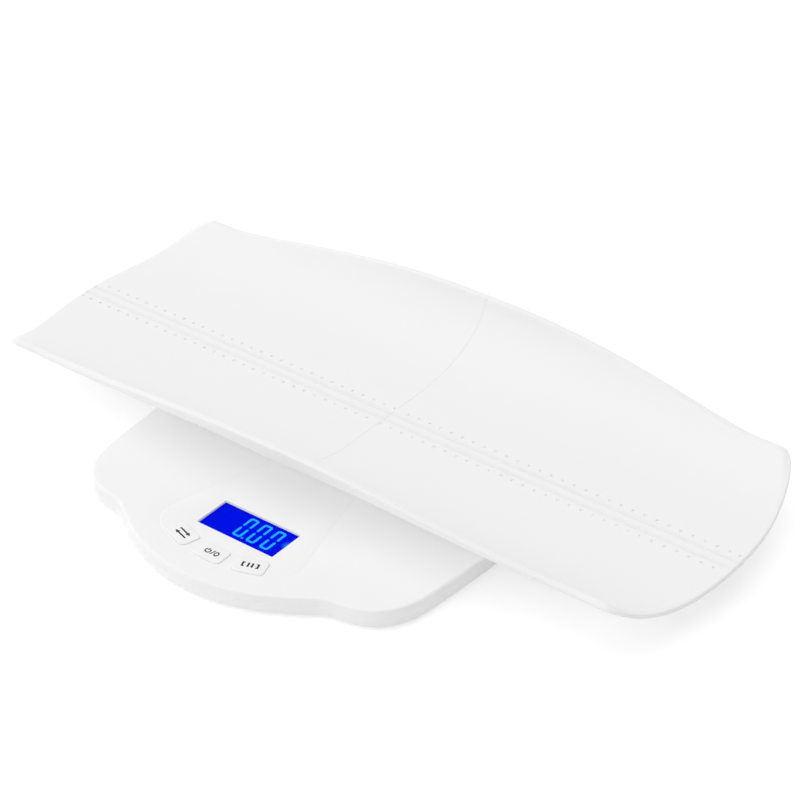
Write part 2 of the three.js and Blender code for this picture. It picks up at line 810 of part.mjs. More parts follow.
function pushSwitch() {
  const half = switchSize / 2;
  const low = boardTop + fitGap;
  const body = block(-half, half, -half, half, low, low + switchBodyHeight);
  const tip = flangeBottom - keyTravel - fitGap;
  return body.add(post(0, 0, plungerRadius, plungerRadius, low + switchBodyHeight / 2, tip, smallRoundSteps));
}

keyNames.forEach((name, index) => {
  const spot = keySpot(index - 1);
  for (const [piece, solid, material] of [
    ['key', keyCap(), plastic(baseWhite, 0.3)],
    ['switch', pushSwitch(), plastic(switchBlack, 0.5)],
  ]) {
    const mesh = place(`${piece}_${name}`, solid, material);
    mesh.position.set(spot.x, spot.y, 0);
    mesh.rotation.z = spot.angle;
  }
});

// Weighing corners: a steel bending plate on its seat, a foot under its tongue, and a rubber pad.
function loadCell() {
  const half = cellSize / 2;
  const low = cellSeatTop + fitGap;
  const high = low + cellThickness;
  const slot = half - cellSlotInset;
  const cutLow = low - overrun;
  const cutHigh = high + overrun;
  return cut(block(-half, half, -half, half, low, high), [
    block(-slot, cellSlotWidth - slot, -slot, slot, cutLow, cutHigh),
    block(slot - cellSlotWidth, slot, -slot, slot, cutLow, cutHigh),
    block(-slot, slot, -slot, cellSlotWidth - slot, cutLow, cutHigh),
  ]);
}

function foot() {
  const low = padBottom + footPadThickness + fitGap;
  const discTop = low + footDiscThickness;
  const bossTop = cellSeatTop;
  return turned([
    new THREE.Vector2(0, low),
    new THREE.Vector2(footRadius - footClearance, low),
    new THREE.Vector2(footRadius, low + footClearance),
    new THREE.Vector2(footRadius, discTop),
    new THREE.Vector2(footBossRadius, discTop),
    new THREE.Vector2(footBossRadius, bossTop),
    new THREE.Vector2(0, bossTop),
  ], roundSteps).rotate([90, 0, 0]);
}

for (const [corner, x, y] of footSpots) {
  const pieces = [
    ['load_cell', loadCell(), metal(steelGrey, 0.35)],
    ['foot', foot(), plastic(hiddenWhite, 0.5)],
    ['foot_pad', post(0, 0, footPadRadius, footPadRadius, padBottom, padBottom + footPadThickness, roundSteps),
      plastic(rubberGrey, 0.9)],
  ];
  for (const [piece, solid, material] of pieces) {
    place(`${piece}_${corner}`, solid, material).position.set(x, y, 0);
  }
}

// Battery door: a plate in the belly's opening, with two hooks that it swings on and a thumb notch.
function batteryDoor() {
  const parts = [block(-doorHalfX, doorHalfX, compartmentY - doorHalfY, compartmentY + doorHalfY,
    bellyHeight, doorTop)];
  const hookLow = shellFloor + fitGap;
  const hookTop = hookLow + doorHookThickness;
  const edge = compartmentY + doorHalfY;
  for (const side of [-1, 1]) {
    const xLow = side * doorHookX - doorHookWidth / 2;
    const xHigh = side * doorHookX + doorHookWidth / 2;
    parts.push(block(xLow, xHigh, edge - doorHookRiser, edge, doorTop - doorThickness / 2, hookTop));
    parts.push(block(xLow, xHigh, edge - doorHookRiser, edge + doorHookReach, hookLow, hookTop));
  }
  const notchEdge = compartmentY - doorHalfY;
  const notch = block(-doorNotchWidth / 2, doorNotchWidth / 2,
    notchEdge - overrun, notchEdge + doorNotchDepth, bellyHeight - overrun, doorTop + overrun);
  return cut(joined(parts), [notch]);
}

place('battery_door', batteryDoor(), plastic(baseWhite, 0.4));

// Cells lie along X, every second one turned end for end.
function battery() {
  const half = batteryLength / 2;
  const shoulder = half - batteryNubLength;
  return new THREE.LatheGeometry([
    new THREE.Vector2(0, -half),
    new THREE.Vector2(batteryRadius - batteryEdgeRound, -half),
    new THREE.Vector2(batteryRadius, batteryEdgeRound - half),
    new THREE.Vector2(batteryRadius, shoulder - batteryEdgeRound),
    new THREE.Vector2(batteryRadius - batteryEdgeRound, shoulder),
    new THREE.Vector2(batteryNubRadius, shoulder),
    new THREE.Vector2(batteryNubRadius, half),
    new THREE.Vector2(0, half),
  ], smallRoundSteps);
}

const batteryRows = Array.from({ length: batteryCount }, (unused, i) =>
  compartmentY + (i - (batteryCount - 1) / 2) * batteryPitch);

batteryRows.forEach((y, i) => {
  const cell = place(`battery_${i + 1}`, toSolid(battery()), plastic(batteryGrey, 0.4));
  cell.rotation.z = i % 2 === 0 ? Math.PI / 2 : -Math.PI / 2;
  cell.position.set(0, y, batteryAxisHeight);
});

// Contacts: a strip at each end of the compartment with one sprung cone for each cell.
function contactStrip() {
  const inner = batteryLength / 2 + fitGap + contactBump;
  const rowsHalf = (batteryPitch * (batteryCount - 1)) / 2 + batteryRadius - contactMargin;
  const strip = block(inner, inner + contactPlate, compartmentY - rowsHalf, compartmentY + rowsHalf,
    batteryAxisHeight - batteryRadius + contactMargin, batteryAxisHeight + batteryRadius - contactMargin);
  const cones = batteryRows.map((y) => post(0, 0, contactBumpRadius, contactTipRadius,
    -contactPlate / 2, contactBump, smallRoundSteps)
    .rotate([0, -90, 0])
    .translate([inner, y, batteryAxisHeight]));
  return joined([strip, ...cones]);
}

const contact = toGeometry(contactStrip());
place('battery_contact_right', contact, metal(steelGrey, 0.3));
const farContact = place('battery_contact_left', contact.clone(), metal(steelGrey, 0.3));
farContact.rotation.z = Math.PI;
farContact.position.y = 2 * compartmentY;

// Screws from below, through the shell into the cover's bosses.
function screw() {
  const low = bellyHeight + fitGap;
  const neck = low + screwHeadHeight;
  return turned([
    new THREE.Vector2(0, low),
    new THREE.Vector2(screwHeadRadius - fitGap, low),
    new THREE.Vector2(screwHeadRadius, low + fitGap),
    new THREE.Vector2(screwHeadRadius, neck),
    new THREE.Vector2(screwShankRadius, neck),
    new THREE.Vector2(screwShankRadius, screwTop - screwShankRadius),
    new THREE.Vector2(0, screwTop),
  ], smallRoundSteps).rotate([90, 0, 0]);
}

screwSpots.forEach(([x, y], i) => {
  place(`screw_${i + 1}`, screw(), metal(steelGrey, 0.35)).position.set(x, y, 0);
});

// The outer box runs from the bow's front to the tray's rear rim: its middle goes to y = 0.
const frontReach = Math.min(...outline.map((p) => p.y));
scale.position.y = -(frontReach + trayHalfWidth) / 2;

export default scale;
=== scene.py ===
"""Looks of a digital baby weighing scale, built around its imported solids.

The tray, the base, the keys and the feet are drawn again here as fine surfaces. The display gets its lit
figures, and the other pieces keep their solids and get their finishes. Lengths are in millimetres with the
tray's middle at x = 0, y = 0. Each piece is moved along Y and turned into metres when its mesh is made.
"""

import json
import math

import bmesh
import bpy
import numpy as np
from mathutils import Matrix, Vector
from mathutils.geometry import delaunay_2d_cdt

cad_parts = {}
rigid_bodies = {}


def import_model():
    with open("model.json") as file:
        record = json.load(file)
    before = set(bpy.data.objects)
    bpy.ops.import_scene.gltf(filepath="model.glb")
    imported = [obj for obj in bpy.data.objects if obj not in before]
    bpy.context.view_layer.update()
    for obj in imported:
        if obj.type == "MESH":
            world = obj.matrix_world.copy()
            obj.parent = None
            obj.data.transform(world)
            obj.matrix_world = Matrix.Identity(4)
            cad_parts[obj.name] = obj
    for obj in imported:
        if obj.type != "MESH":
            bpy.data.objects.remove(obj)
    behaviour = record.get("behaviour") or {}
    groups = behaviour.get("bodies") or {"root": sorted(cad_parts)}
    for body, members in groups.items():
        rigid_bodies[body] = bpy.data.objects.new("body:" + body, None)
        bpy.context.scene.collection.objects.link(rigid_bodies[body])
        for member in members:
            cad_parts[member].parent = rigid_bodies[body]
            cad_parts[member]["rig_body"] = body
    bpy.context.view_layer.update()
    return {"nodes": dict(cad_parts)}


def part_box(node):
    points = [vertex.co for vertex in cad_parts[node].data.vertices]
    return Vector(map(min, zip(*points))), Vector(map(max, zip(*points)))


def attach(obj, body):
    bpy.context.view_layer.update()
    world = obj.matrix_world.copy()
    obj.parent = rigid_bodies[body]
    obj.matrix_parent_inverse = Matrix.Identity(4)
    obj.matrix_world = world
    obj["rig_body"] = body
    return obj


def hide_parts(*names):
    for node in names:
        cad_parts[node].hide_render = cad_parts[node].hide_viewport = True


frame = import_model()

bl_info = {
    "name": "Baby Weighing Scale",
    "version": (1, 0, 0),
    "blender": (4, 5, 0),
    "location": "View3D > Sidebar > Weighing Scale",
    "description": "Builds a digital baby weighing scale with a two-part trough tray",
    "category": "Add Mesh",
}

# Places shared by the pieces, in millimetres
FIT = 0.3
SHIFT_Y = 1000 * (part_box("tray_right")[0].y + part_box("tray_right")[1].y) / 2
PLATEAU = 17.0
PANEL_TOP = 17.1
COVER_UNDER = 15.0
PARTING = 9.4
BELLY = 2.0
BELLY_INSIDE = 4.0
SEAM = 0.03
BOW_CENTRE_Y = -101.0
PEG_PLACES = [(x, y) for x in (45.0, 125.0) for y in (-62.0, 62.0)]
SOCKET_PLACES = [(s * x, y) for s in (-1, 1) for x, y in PEG_PLACES]
SCREW_PLACES = [(s * x, y) for x, y in ((84.0, -178.0), (138.0, -30.0), (84.0, 102.0)) for s in (-1, 1)]
FOOT_PLACES = {
    "front_left": (-118.0, -148.0),
    "front_right": (118.0, -148.0),
    "rear_left": (-118.0, 84.0),
    "rear_right": (118.0, 84.0),
}
DOOR_Y = 20.0
DOOR_HALF = (25.65, 21.85)
KEY_ARC = 100.5
KEY_ANGLE = 18.0


# Sizes and colours that a user may change

def number(name, description, default, **more):
    """A plain number."""
    return bpy.props.FloatProperty(name=name, description=description, default=default, **more)


def length(name, description, default):
    """A size in metres whose default is given in millimetres."""
    return number(name, description, default / 1000, min=0.0, unit="LENGTH", precision=5)


def tone(name, description, default):
    """A linear colour with a picker."""
    return bpy.props.FloatVectorProperty(
        name=name, description=description, default=default, size=3, min=0.0, max=1.0, subtype="COLOR"
    )


class ScaleSizes(bpy.types.PropertyGroup):
    """Sizes of the tray, the base and the display."""

    tray_floor: length("Tray Floor", "Height of the tray's flat floor over the table", 24.0)
    tray_half_length: length("Tray Half Length", "From the seam to the tip of one tray half", 303.5)
    tray_half_width: length("Tray Half Width", "From the middle of the tray to its rim at the seam", 130.9)
    tray_wall: length("Tray Wall", "Thickness of the tray's skin", 2.8)
    rim_width: length("Rim Width", "Width of the flat lip round the tray", 5.3)
    skirt_depth: length("Skirt Depth", "Height of the rim's hanging edge at the seam", 10.8)
    dot_radius: length("Dot Radius", "Radius of the ruler's moulded dots", 1.25)
    dot_depth: length("Dot Depth", "Depth of the ruler's moulded dots", 1.15)
    groove_depth: length("Groove Depth", "Depth of the two grooves between the dots", 0.6)
    margin: length("Cover Margin", "Width of the sloping margin round the base", 15.6)
    window_width: length("Window Width", "Width of the display opening", 69.2)
    window_depth: length("Window Depth", "Depth of the display opening, front to rear", 31.6)
    digit_height: length("Digit Height", "Height of the figures on the display", 23.3)
    key_width: length("Key Width", "Width of one key along the bow", 24.0)
    key_depth: length("Key Depth", "Depth of one key, front to rear", 16.6)


class ScaleColours(bpy.types.PropertyGroup):
    """Colours of the finishes."""

    tray: tone("Tray", "White of the tray", (0.89, 0.89, 0.89))
    base: tone("Base", "White of the base", (0.905, 0.905, 0.905))
    keys: tone("Keys", "White of the keys", (0.9, 0.9, 0.9))
    marks: tone("Key Marks", "Ink of the key marks", (0.008, 0.008, 0.009))
    display: tone("Display", "Lit ground of the display", (0.0, 0.006, 0.92))
    figures: tone("Figures", "Lit figures of the display", (0.013, 0.42, 1.0))
    rubber: tone("Rubber", "Grey of the foot pads", (0.12, 0.12, 0.125))
    floor: tone("Floor", "White of the floor", (0.93, 0.93, 0.93))


class StageSettings(bpy.types.PropertyGroup):
    """Camera and lights."""

    camera_turn: number("Camera Turn", "Camera's turn towards +X", 0.6512931, subtype="ANGLE")
    camera_rise: number("Camera Rise", "Camera's angle above the horizon", 0.5897981, subtype="ANGLE")
    sky: number("Sky", "Strength of the room's light", 1.09, min=0.0)
    top_light: number("Top Light", "Strength of the top fill", 1.25, min=0.0)


GROUPS = {"scale_sizes": ScaleSizes, "scale_colours": ScaleColours, "scale_stage": StageSettings}


def mm(value):
    """Millimetres of a size that is stored in metres."""
    return value * 1000


# Meshes from arrays

WELD = 0.002
SMOOTH_ANGLE = 32.0


def grid(points, wrap=False):
    """Quads of an (m, n, 3) array of points: each joins neighbours along both indices.
    With wrap, the last column joins the first."""
    rows, cols = points.shape[:2]
    i, j = np.meshgrid(np.arange(rows - 1), np.arange(cols if wrap else cols - 1), indexing="ij")
    a = i * cols + j
    b = i * cols + (j + 1) % cols
    faces = np.stack([a, b, b + cols, a + cols], -1).reshape(-1, 4)
    return points.reshape(-1, 3), faces


def one_face(points):
    """A single flat face with the given corners."""
    return points, np.arange(len(points)).reshape(1, -1)


def closed(rings):
    """A tube through stacked rings, with a flat face over each end."""
    return [grid(rings, True), one_face(rings[0]), one_face(rings[-1])]


def at_height(plan, height):
    """Plan points at one height."""
    return np.column_stack([plan, np.full(len(plan), height)])


def inside(points, loop):
    """For each point, whether a ray towards +X crosses the closed loop an odd number of times."""
    x, y = points[:, :1], points[:, 1:2]
    ax, ay = loop[:, 0], loop[:, 1]
    bx, by = np.roll(ax, -1), np.roll(ay, -1)
    level = (ay > y) != (by > y)
    cross = ax + (y - ay) * (bx - ax) / np.where(by == ay, 1e-12, by - ay)
    return (level & (x < cross)).sum(1) % 2 == 1


def cap(outer, holes, height):
    """Flat sheet at one height between an outer loop and the loops of its holes: a constrained Delaunay
    triangulation, less the triangles whose middles lie in a hole or outside the outer loop."""
    loops = [outer, *holes]
    coords = np.concatenate(loops)[:, :2]
    starts = np.cumsum([0] + [len(loop) for loop in loops])
    edges = []
    for loop, start in zip(loops, starts):
        k = np.arange(len(loop))
        edges += np.stack([start + k, start + (k + 1) % len(loop)], 1).tolist()
    verts, _, faces, *_ = delaunay_2d_cdt(coords.tolist(), edges, [], 1, 1e-7)
    flat = np.array([tuple(v) for v in verts])
    faces = np.array([f for f in faces if len(f) == 3])
    middles = flat[faces].mean(1)
    keep = inside(middles, outer)
    for hole in holes:
        keep &= ~inside(middles, hole)
    return at_height(flat, height), faces[keep]


def box_sheets(low, high, bevel=0.0):
    """Closed box between two corners. Its plan is a rectangle with rounded corners and its edges are
    rounded by the same bevel."""
    low, high = np.array(low, float), np.array(high, float)
    size = high - low
    bevel = min(bevel, *(size / 2.01))
    loop, normal = rounded_rectangle(size[0], size[1], max(bevel, 1e-3), 4)
    middle = (low + high)[:2] / 2
    edge = quarter((bevel, low[2]), (0, low[2] + bevel), 4)
    edge += quarter((0, high[2] - bevel), (bevel, high[2]), 4, upright=True)
    return closed(ring(loop + middle, normal, edge))


def plate_sheets(plan, low, high):
    """A flat plate with the given plan, between two heights."""
    return closed(np.stack([at_height(plan, low), at_height(plan, high)]))


def make_piece(name, sheets, look, body, replaces=None):
    """Joins sheets into one mesh object in the row frame, welds it, points its faces outwards, smooths it
    up to SMOOTH_ANGLE, gives it its finish, and ties it to its body."""
    starts = np.cumsum([0] + [len(points) for points, _ in sheets])
    verts = (np.concatenate([points for points, _ in sheets]) + [0, SHIFT_Y, 0]) / 1000
    loops = np.concatenate([(faces + start).ravel() for (_, faces), start in zip(sheets, starts)])
    totals = np.concatenate([np.full(len(faces), faces.shape[1]) for _, faces in sheets])
    mesh = bpy.data.meshes.new(name)
    mesh.vertices.add(len(verts))
    mesh.vertices.foreach_set("co", verts.astype(np.float32).ravel())
    mesh.loops.add(len(loops))
    mesh.loops.foreach_set("vertex_index", loops.astype(np.int32))
    mesh.polygons.add(len(totals))
    mesh.polygons.foreach_set("loop_start", (np.cumsum(totals) - totals).astype(np.int32))
    mesh.polygons.foreach_set("loop_total", totals.astype(np.int32))
    mesh.update(calc_edges=True)
    work = bmesh.new()
    work.from_mesh(mesh)
    bmesh.ops.remove_doubles(work, verts=work.verts, dist=WELD / 1000)
    bmesh.ops.recalc_face_normals(work, faces=work.faces)
    work.to_mesh(mesh)
    work.free()
    mesh.shade_smooth()
    mesh.set_sharp_from_angle(angle=math.radians(SMOOTH_ANGLE))
    if look:
        mesh.materials.append(finishes()[look])
    piece = bpy.data.objects.new(name, mesh)
    bpy.context.scene.collection.objects.link(piece)
    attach(piece, body)
    if replaces:
        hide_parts(replaces)
    return piece


# Paths and profiles

def quadratic(start, towards, end, count):
    """Points of the quadratic curve from start to end that is drawn towards a third point."""
    t = np.linspace(0, 1, count)[:, None]
    return np.array(start) * (1 - t) ** 2 + np.array(towards) * 2 * t * (1 - t) + np.array(end) * t**2


def resample(loop, count, soften):
    """Evenly spaced points of a closed plan loop, averaged along its length by a bell of the given width,
    which takes out small corners."""
    step = np.linalg.norm(np.roll(loop, -1, 0) - loop, axis=1)
    loop = loop[step > 1e-6]
    step = np.linalg.norm(np.roll(loop, -1, 0) - loop, axis=1)
    along = np.concatenate([[0], np.cumsum(step)])
    closed = np.vstack([loop, loop[:1]])
    fine = 4 * count
    at = np.linspace(0, along[-1], fine, endpoint=False)
    wave = np.fft.fftfreq(fine, along[-1] / fine)
    bell = np.exp(-2 * (math.pi * wave * soften) ** 2)
    columns = [np.fft.ifft(np.fft.fft(np.interp(at, along, closed[:, k])) * bell).real for k in (0, 1)]
    return np.column_stack(columns)[::4]


def unit(vectors):
    """Vectors in plan at length one."""
    return vectors / np.linalg.norm(vectors, axis=1, keepdims=True)


def normals_of(loop):
    """Outward unit normals of an anticlockwise plan loop, from the chord between each point's neighbours."""
    chord = np.roll(loop, -1, 0) - np.roll(loop, 1, 0)
    return unit(np.column_stack([chord[:, 1], -chord[:, 0]]))


def quarter(start, end, count, upright=False):
    """Profile points of a quarter ellipse. It leaves its start level and meets its end upright, or the other
    way round."""
    a = np.linspace(0, math.pi / 2, count)
    share = np.column_stack([1 - np.cos(a), np.sin(a)] if upright else [np.sin(a), 1 - np.cos(a)])
    return (np.array(start) + (np.array(end) - start) * share).tolist()


def ring(loop, normal, profile):
    """A profile of (inset, height) pairs carried along a plan loop: point = loop - normal * inset."""
    profile = np.array(profile, float)
    plan = loop[None] - normal[None] * profile[:, None, :1]
    height = np.broadcast_to(profile[:, None, 1:], (*plan.shape[:2], 1))
    return np.concatenate([plan, height], -1)


def circle(x, y, radius, count=48):
    """Circle in plan with its outward normals."""
    a = np.arange(count) * 2 * math.pi / count
    normal = np.column_stack([np.cos(a), np.sin(a)])
    return normal * radius + [x, y], normal


def rounded_rectangle(width, depth, radius, steps=8):
    """Rectangle with quarter-circle corners, anticlockwise, with its outward normals."""
    a = np.linspace(0, math.pi / 2, steps + 1)
    loop, normal = [], []
    for quarter, (sx, sy) in enumerate(((1, 1), (-1, 1), (-1, -1), (1, -1))):
        n = np.column_stack([np.cos(a + quarter * math.pi / 2), np.sin(a + quarter * math.pi / 2)])
        loop.append(n * radius + [sx * (width / 2 - radius), sy * (depth / 2 - radius)])
        normal.append(n)
    return np.concatenate(loop), np.concatenate(normal)


def turned_about(loop, normal, x, y, angle):
    """A plan loop turned about its own middle and moved to x, y."""
    c, s = math.cos(angle), math.sin(angle)
    spin = np.array([[c, s], [-s, c]])
    return loop @ spin + [x, y], normal @ spin


def lathe(x, y, profile, count=48):
    """A profile of (radius, height) pairs turned about the vertical through x, y. Both ends lie on it."""
    _, ray = circle(0, 0, 0, count)
    return grid(ring(ray * 0 + [x, y], -ray, profile), True)


# Nodes

def feed(tree, made, values):
    """Gives inputs of a node their values, or a link where the value is another node's output."""
    for key, value in values.items():
        if isinstance(value, bpy.types.NodeSocket):
            tree.links.new(value, made.inputs[key])
        else:
            made.inputs[key].default_value = value


def node(tree, kind, values=None, **settings):
    """A shader node with its settings, and its inputs fed."""
    made = tree.nodes.new(f"ShaderNode{kind}")
    for key, value in settings.items():
        setattr(made, key, value)
    feed(tree, made, values or {})
    return made


def arith(tree, operation, *values):
    """Output of a Math node on numbers or outputs of other nodes."""
    return node(tree, "Math", dict(enumerate(values)), operation=operation).outputs[0]


def blend(tree, under, over, share):
    """A mix of two colours, by the share of the second. A colour is a value or another node's output."""
    def with_alpha(colour):
        return colour if isinstance(colour, bpy.types.NodeSocket) else (*colour, 1)

    mix = node(tree, "Mix", data_type="RGBA")
    feed(tree, mix, {"A": with_alpha(under), "B": with_alpha(over), "Factor": share})
    return mix.outputs["Result"]


def ramp(tree, value, start, end, low, high, kind="LINEAR"):
    """Turns a length between start and end, in millimetres, into a number between low and high."""
    return node(tree, "MapRange", {
        "Value": value,
        "From Min": start / 1000,
        "From Max": end / 1000,
        "To Min": low,
        "To Max": high,
    }, interpolation_type=kind).outputs["Result"]


def object_place(tree, axis=None):
    """Object coordinates of the shaded point, or one axis of them."""
    place = node(tree, "TexCoord").outputs["Object"]
    if axis is None:
        return place
    return node(tree, "SeparateXYZ", {"Vector": place}).outputs[axis]


def new_group(name, inputs):
    """A shader node group with a colour and named numbers coming in, and colour, roughness and height going
    out. Returns it with the sockets that carry its inputs."""
    group = bpy.data.node_groups.new(name, "ShaderNodeTree")
    group.interface.new_socket("Colour", in_out="INPUT", socket_type="NodeSocketColor")
    for label, default in inputs.items():
        socket = group.interface.new_socket(label, in_out="INPUT", socket_type="NodeSocketFloat")
        socket.default_value = default
    group.interface.new_socket("Colour", in_out="OUTPUT", socket_type="NodeSocketColor")
    for label in ("Roughness", "Height"):
        group.interface.new_socket(label, in_out="OUTPUT", socket_type="NodeSocketFloat")
    return group, group.nodes.new("NodeGroupInput").outputs


def group_outputs(group, source, pattern, drift, gloss_drift, height):
    """Ends a group: colour * (1 + drift * (pattern - 0.5)), gloss + gloss_drift * (pattern - 0.5), height."""
    middle = arith(group, "SUBTRACT", pattern, 0.5)
    factor = arith(group, "MULTIPLY_ADD", middle, drift, 1.0)
    shade = node(group, "VectorMath", {0: source["Colour"], "Scale": factor}, operation="SCALE")
    feed(group, group.nodes.new("NodeGroupOutput"), {
        "Colour": shade.outputs["Vector"],
        "Roughness": arith(group, "MULTIPLY_ADD", middle, gloss_drift, source["Gloss"]),
        "Height": height,
    })
    return group


def moulded_skin_group():
    """Moulded plastic: a slow drift of tone and gloss from the flow of the melt, and a fine grain."""
    group, source = new_group("Moulded Skin", {
        "Drift": 0.02, "Flow Scale": 9.0, "Gloss": 0.3, "Gloss Drift": 0.06, "Grain Scale": 1400.0,
    })
    place = object_place(group)
    flow = node(group, "TexNoise", {
        "Vector": place, "Scale": source["Flow Scale"], "Detail": 3.0, "Roughness": 0.55,
    })
    grain = node(group, "TexNoise", {
        "Vector": place, "Scale": source["Grain Scale"], "Detail": 2.0, "Roughness": 0.6,
    })
    return group_outputs(
        group, source, flow.outputs["Fac"], source["Drift"], source["Gloss Drift"], grain.outputs["Fac"]
    )


def drawn_metal_group():
    """Rolled or plated metal: fine streaks along X over a soft cloud of tone."""
    group, source = new_group("Drawn Metal", {"Streak": 0.1, "Streak Scale": 60.0, "Gloss": 0.35})
    stretch = node(group, "Mapping", {"Vector": object_place(group), "Scale": (1.0, 24.0, 24.0)})
    streak = node(group, "TexNoise", {
        "Vector": stretch.outputs["Vector"], "Scale": source["Streak Scale"],
        "Detail": 4.0, "Roughness": 0.65,
    }).outputs["Fac"]
    return group_outputs(group, source, streak, source["Streak"], source["Streak"], streak)


# Finishes: name, group, colour or the name of a user's colour, the group's values, strength and distance in
# millimetres of the grain's relief, and the shader's own values

FINISH_TABLE = {
    "tray": ("Tray White", "skin", "tray", {"Drift": 0.012, "Gloss": 0.4, "Gloss Drift": 0.08},
             (0.12, 0.05), {"Specular IOR Level": 0.35}),
    "base": ("Base White", "skin", "base", {"Drift": 0.012, "Gloss": 0.38, "Gloss Drift": 0.08},
             (0.1, 0.05), {"Specular IOR Level": 0.4}),
    "keys": (
        "Key White", "skin", "keys", {"Drift": 0.01, "Gloss": 0.4, "Flow Scale": 60.0}, (0.12, 0.05), {},
    ),
    "marks": ("Key Ink", "skin", "marks", {"Drift": 0.2, "Gloss": 0.45, "Flow Scale": 900.0}, None, {}),
    "pane": ("Clear Pane", "skin", (1.0, 1.0, 1.0), {"Drift": 0.004, "Gloss": 0.03, "Gloss Drift": 0.02},
             None, {"Transmission Weight": 1.0, "IOR": 1.03, "Specular IOR Level": 0.0}),
    "foot": ("Foot Plastic", "skin", (0.72, 0.72, 0.71), {"Drift": 0.05, "Gloss": 0.5, "Flow Scale": 60.0},
             (0.3, 0.1), {}),
    "rubber": ("Pad Rubber", "skin", "rubber",
               {"Drift": 0.25, "Gloss": 0.82, "Flow Scale": 120.0, "Grain Scale": 900.0}, (0.7, 0.2), {}),
    "lamp": ("Light Guide", "skin", (0.85, 0.87, 0.92), {"Drift": 0.03, "Gloss": 0.4},
             None, {"Transmission Weight": 0.3}),
    "switch": ("Switch Black", "skin", (0.02, 0.02, 0.021), {"Drift": 0.3, "Gloss": 0.5, "Flow Scale": 200.0},
               (0.3, 0.05), {}),
    "board": ("Board Green", "skin", (0.02, 0.13, 0.05), {"Drift": 0.2, "Gloss": 0.35, "Flow Scale": 90.0},
              None, {"Coat Weight": 0.5, "Coat Roughness": 0.2}),
    "jacket": ("Cell Jacket", "metal", (0.05, 0.055, 0.065), {"Streak": 0.12, "Gloss": 0.3},
               None, {"Metallic": 0.4, "Coat Weight": 0.4}),
    "spring": ("Spring Plate", "metal", (0.72, 0.71, 0.68), {"Streak": 0.1, "Gloss": 0.18},
               (0.1, 0.05), {"Metallic": 1.0}),
    "steel": ("Zinc Steel", "metal", (0.55, 0.56, 0.58), {"Streak": 0.22, "Gloss": 0.34},
              (0.25, 0.05), {"Metallic": 1.0}),
}
FINISHES = {}
# Reach in millimetres and strength of the painted shade laid along the tray's two grooves
GROOVE_SHADE_REACH = 3.8
GROOVE_SHADE_SHARE = 0.045
PATCH_PLACE = (34.2, -160.3)
PATCH_REACH = (0.5, 5.5)


def finishes():
    """All materials of the scale, made once."""
    if FINISHES:
        return FINISHES
    colours = bpy.context.scene.scale_colours
    groups = {"skin": moulded_skin_group(), "metal": drawn_metal_group()}
    for key, (name, group, colour, values, relief, constants) in FINISH_TABLE.items():
        colour = getattr(colours, colour) if isinstance(colour, str) else colour
        FINISHES[key] = finish(name, groups[group], {"Colour": (*colour, 1), **values}, relief, constants)
    # Painted shade along the tray's grooves
    painted_groove_shade(FINISHES["tray"])
    copper_tracks(FINISHES["board"])
    FINISHES["display"] = display_material(colours)
    FINISHES["figures"] = lit_material("Figure Glow", colours.figures, 0.95, 300.0, 0.06)
    return FINISHES


def new_material(name):
    """A Principled material, with its node tree and its shader."""
    material = bpy.data.materials.new(name)
    material.use_nodes = True
    tree = material.node_tree
    return material, tree, tree.nodes["Principled BSDF"]


def finish(name, group, values, relief, constants):
    """A material fed by one node group, with a relief from the group's height if its strength is given."""
    material, tree, shader = new_material(name)
    skin = node(tree, "Group", values, node_tree=group).outputs
    feed(tree, shader, {"Base Color": skin["Colour"], "Roughness": skin["Roughness"], **constants})
    if relief:
        strength, distance = relief
        bump = node(tree, "Bump", {
            "Strength": strength, "Distance": distance / 1000, "Height": skin["Height"],
        })
        feed(tree, shader, {"Normal": bump.outputs["Normal"]})
    return material


def overlay(material, mask, colour):
    """Lays a colour over a material's own colour, as strongly as a mask says."""
    tree = material.node_tree
    shader = tree.nodes["Principled BSDF"]
    under = shader.inputs["Base Color"].links[0].from_socket
    feed(tree, shader, {"Base Color": blend(tree, under, colour, mask)})


def painted_groove_shade(material):
    """Paints shade into the tray's colour along its two grooves: a grey laid over the plastic, by a smooth
    step of the distance to the middle of the nearer groove."""
    tree = material.node_tree
    from_middle = arith(tree, "ABSOLUTE", arith(tree, "SUBTRACT", object_place(tree, "Y"), SHIFT_Y / 1000))
    away = arith(tree, "ABSOLUTE", arith(tree, "SUBTRACT", from_middle, GROOVE_Y / 1000))
    overlay(material, ramp(tree, away, 0.0, GROOVE_SHADE_REACH, GROOVE_SHADE_SHARE, 0.0, "SMOOTHSTEP"), (0.05, 0.05, 0.05))


def copper_tracks(material):
    """Lays lighter copper tracks under a board's lacquer, as thin lines of a brick pattern."""
    tree = material.node_tree
    tracks = node(tree, "TexBrick", {
        "Vector": object_place(tree), "Scale": 90.0,
        "Mortar Size": 0.03, "Brick Width": 0.9, "Row Height": 0.22,
    })
    overlay(material, tracks.outputs["Fac"], (0.06, 0.28, 0.1))


def lit_material(name, colour, strength, cell, depth):
    """A lit display layer: its glow varies by depth over small cells, like a backlight behind a film. Only
    rays that have not bounced see the glow, so other surfaces neither show nor catch it."""
    material, tree, shader = new_material(name)
    cloud = node(tree, "TexNoise", {"Vector": object_place(tree), "Scale": cell, "Detail": 2.0})
    dim, bright = [c * (1 - depth) for c in colour], [min(c * (1 + depth), 1) for c in colour]
    path = node(tree, "LightPath").outputs
    bounces = arith(tree, "MAXIMUM", path["Diffuse Depth"], path["Glossy Depth"])
    direct = arith(tree, "LESS_THAN", bounces, 0.5)
    feed(tree, shader, {
        "Base Color": (*(c * 0.15 for c in colour), 1),
        "Roughness": 0.3,
        "Specular IOR Level": 0.0,
        "Emission Color": blend(tree, dim, bright, cloud.outputs["Fac"]),
        "Emission Strength": arith(tree, "MULTIPLY", direct, strength),
    })
    return material


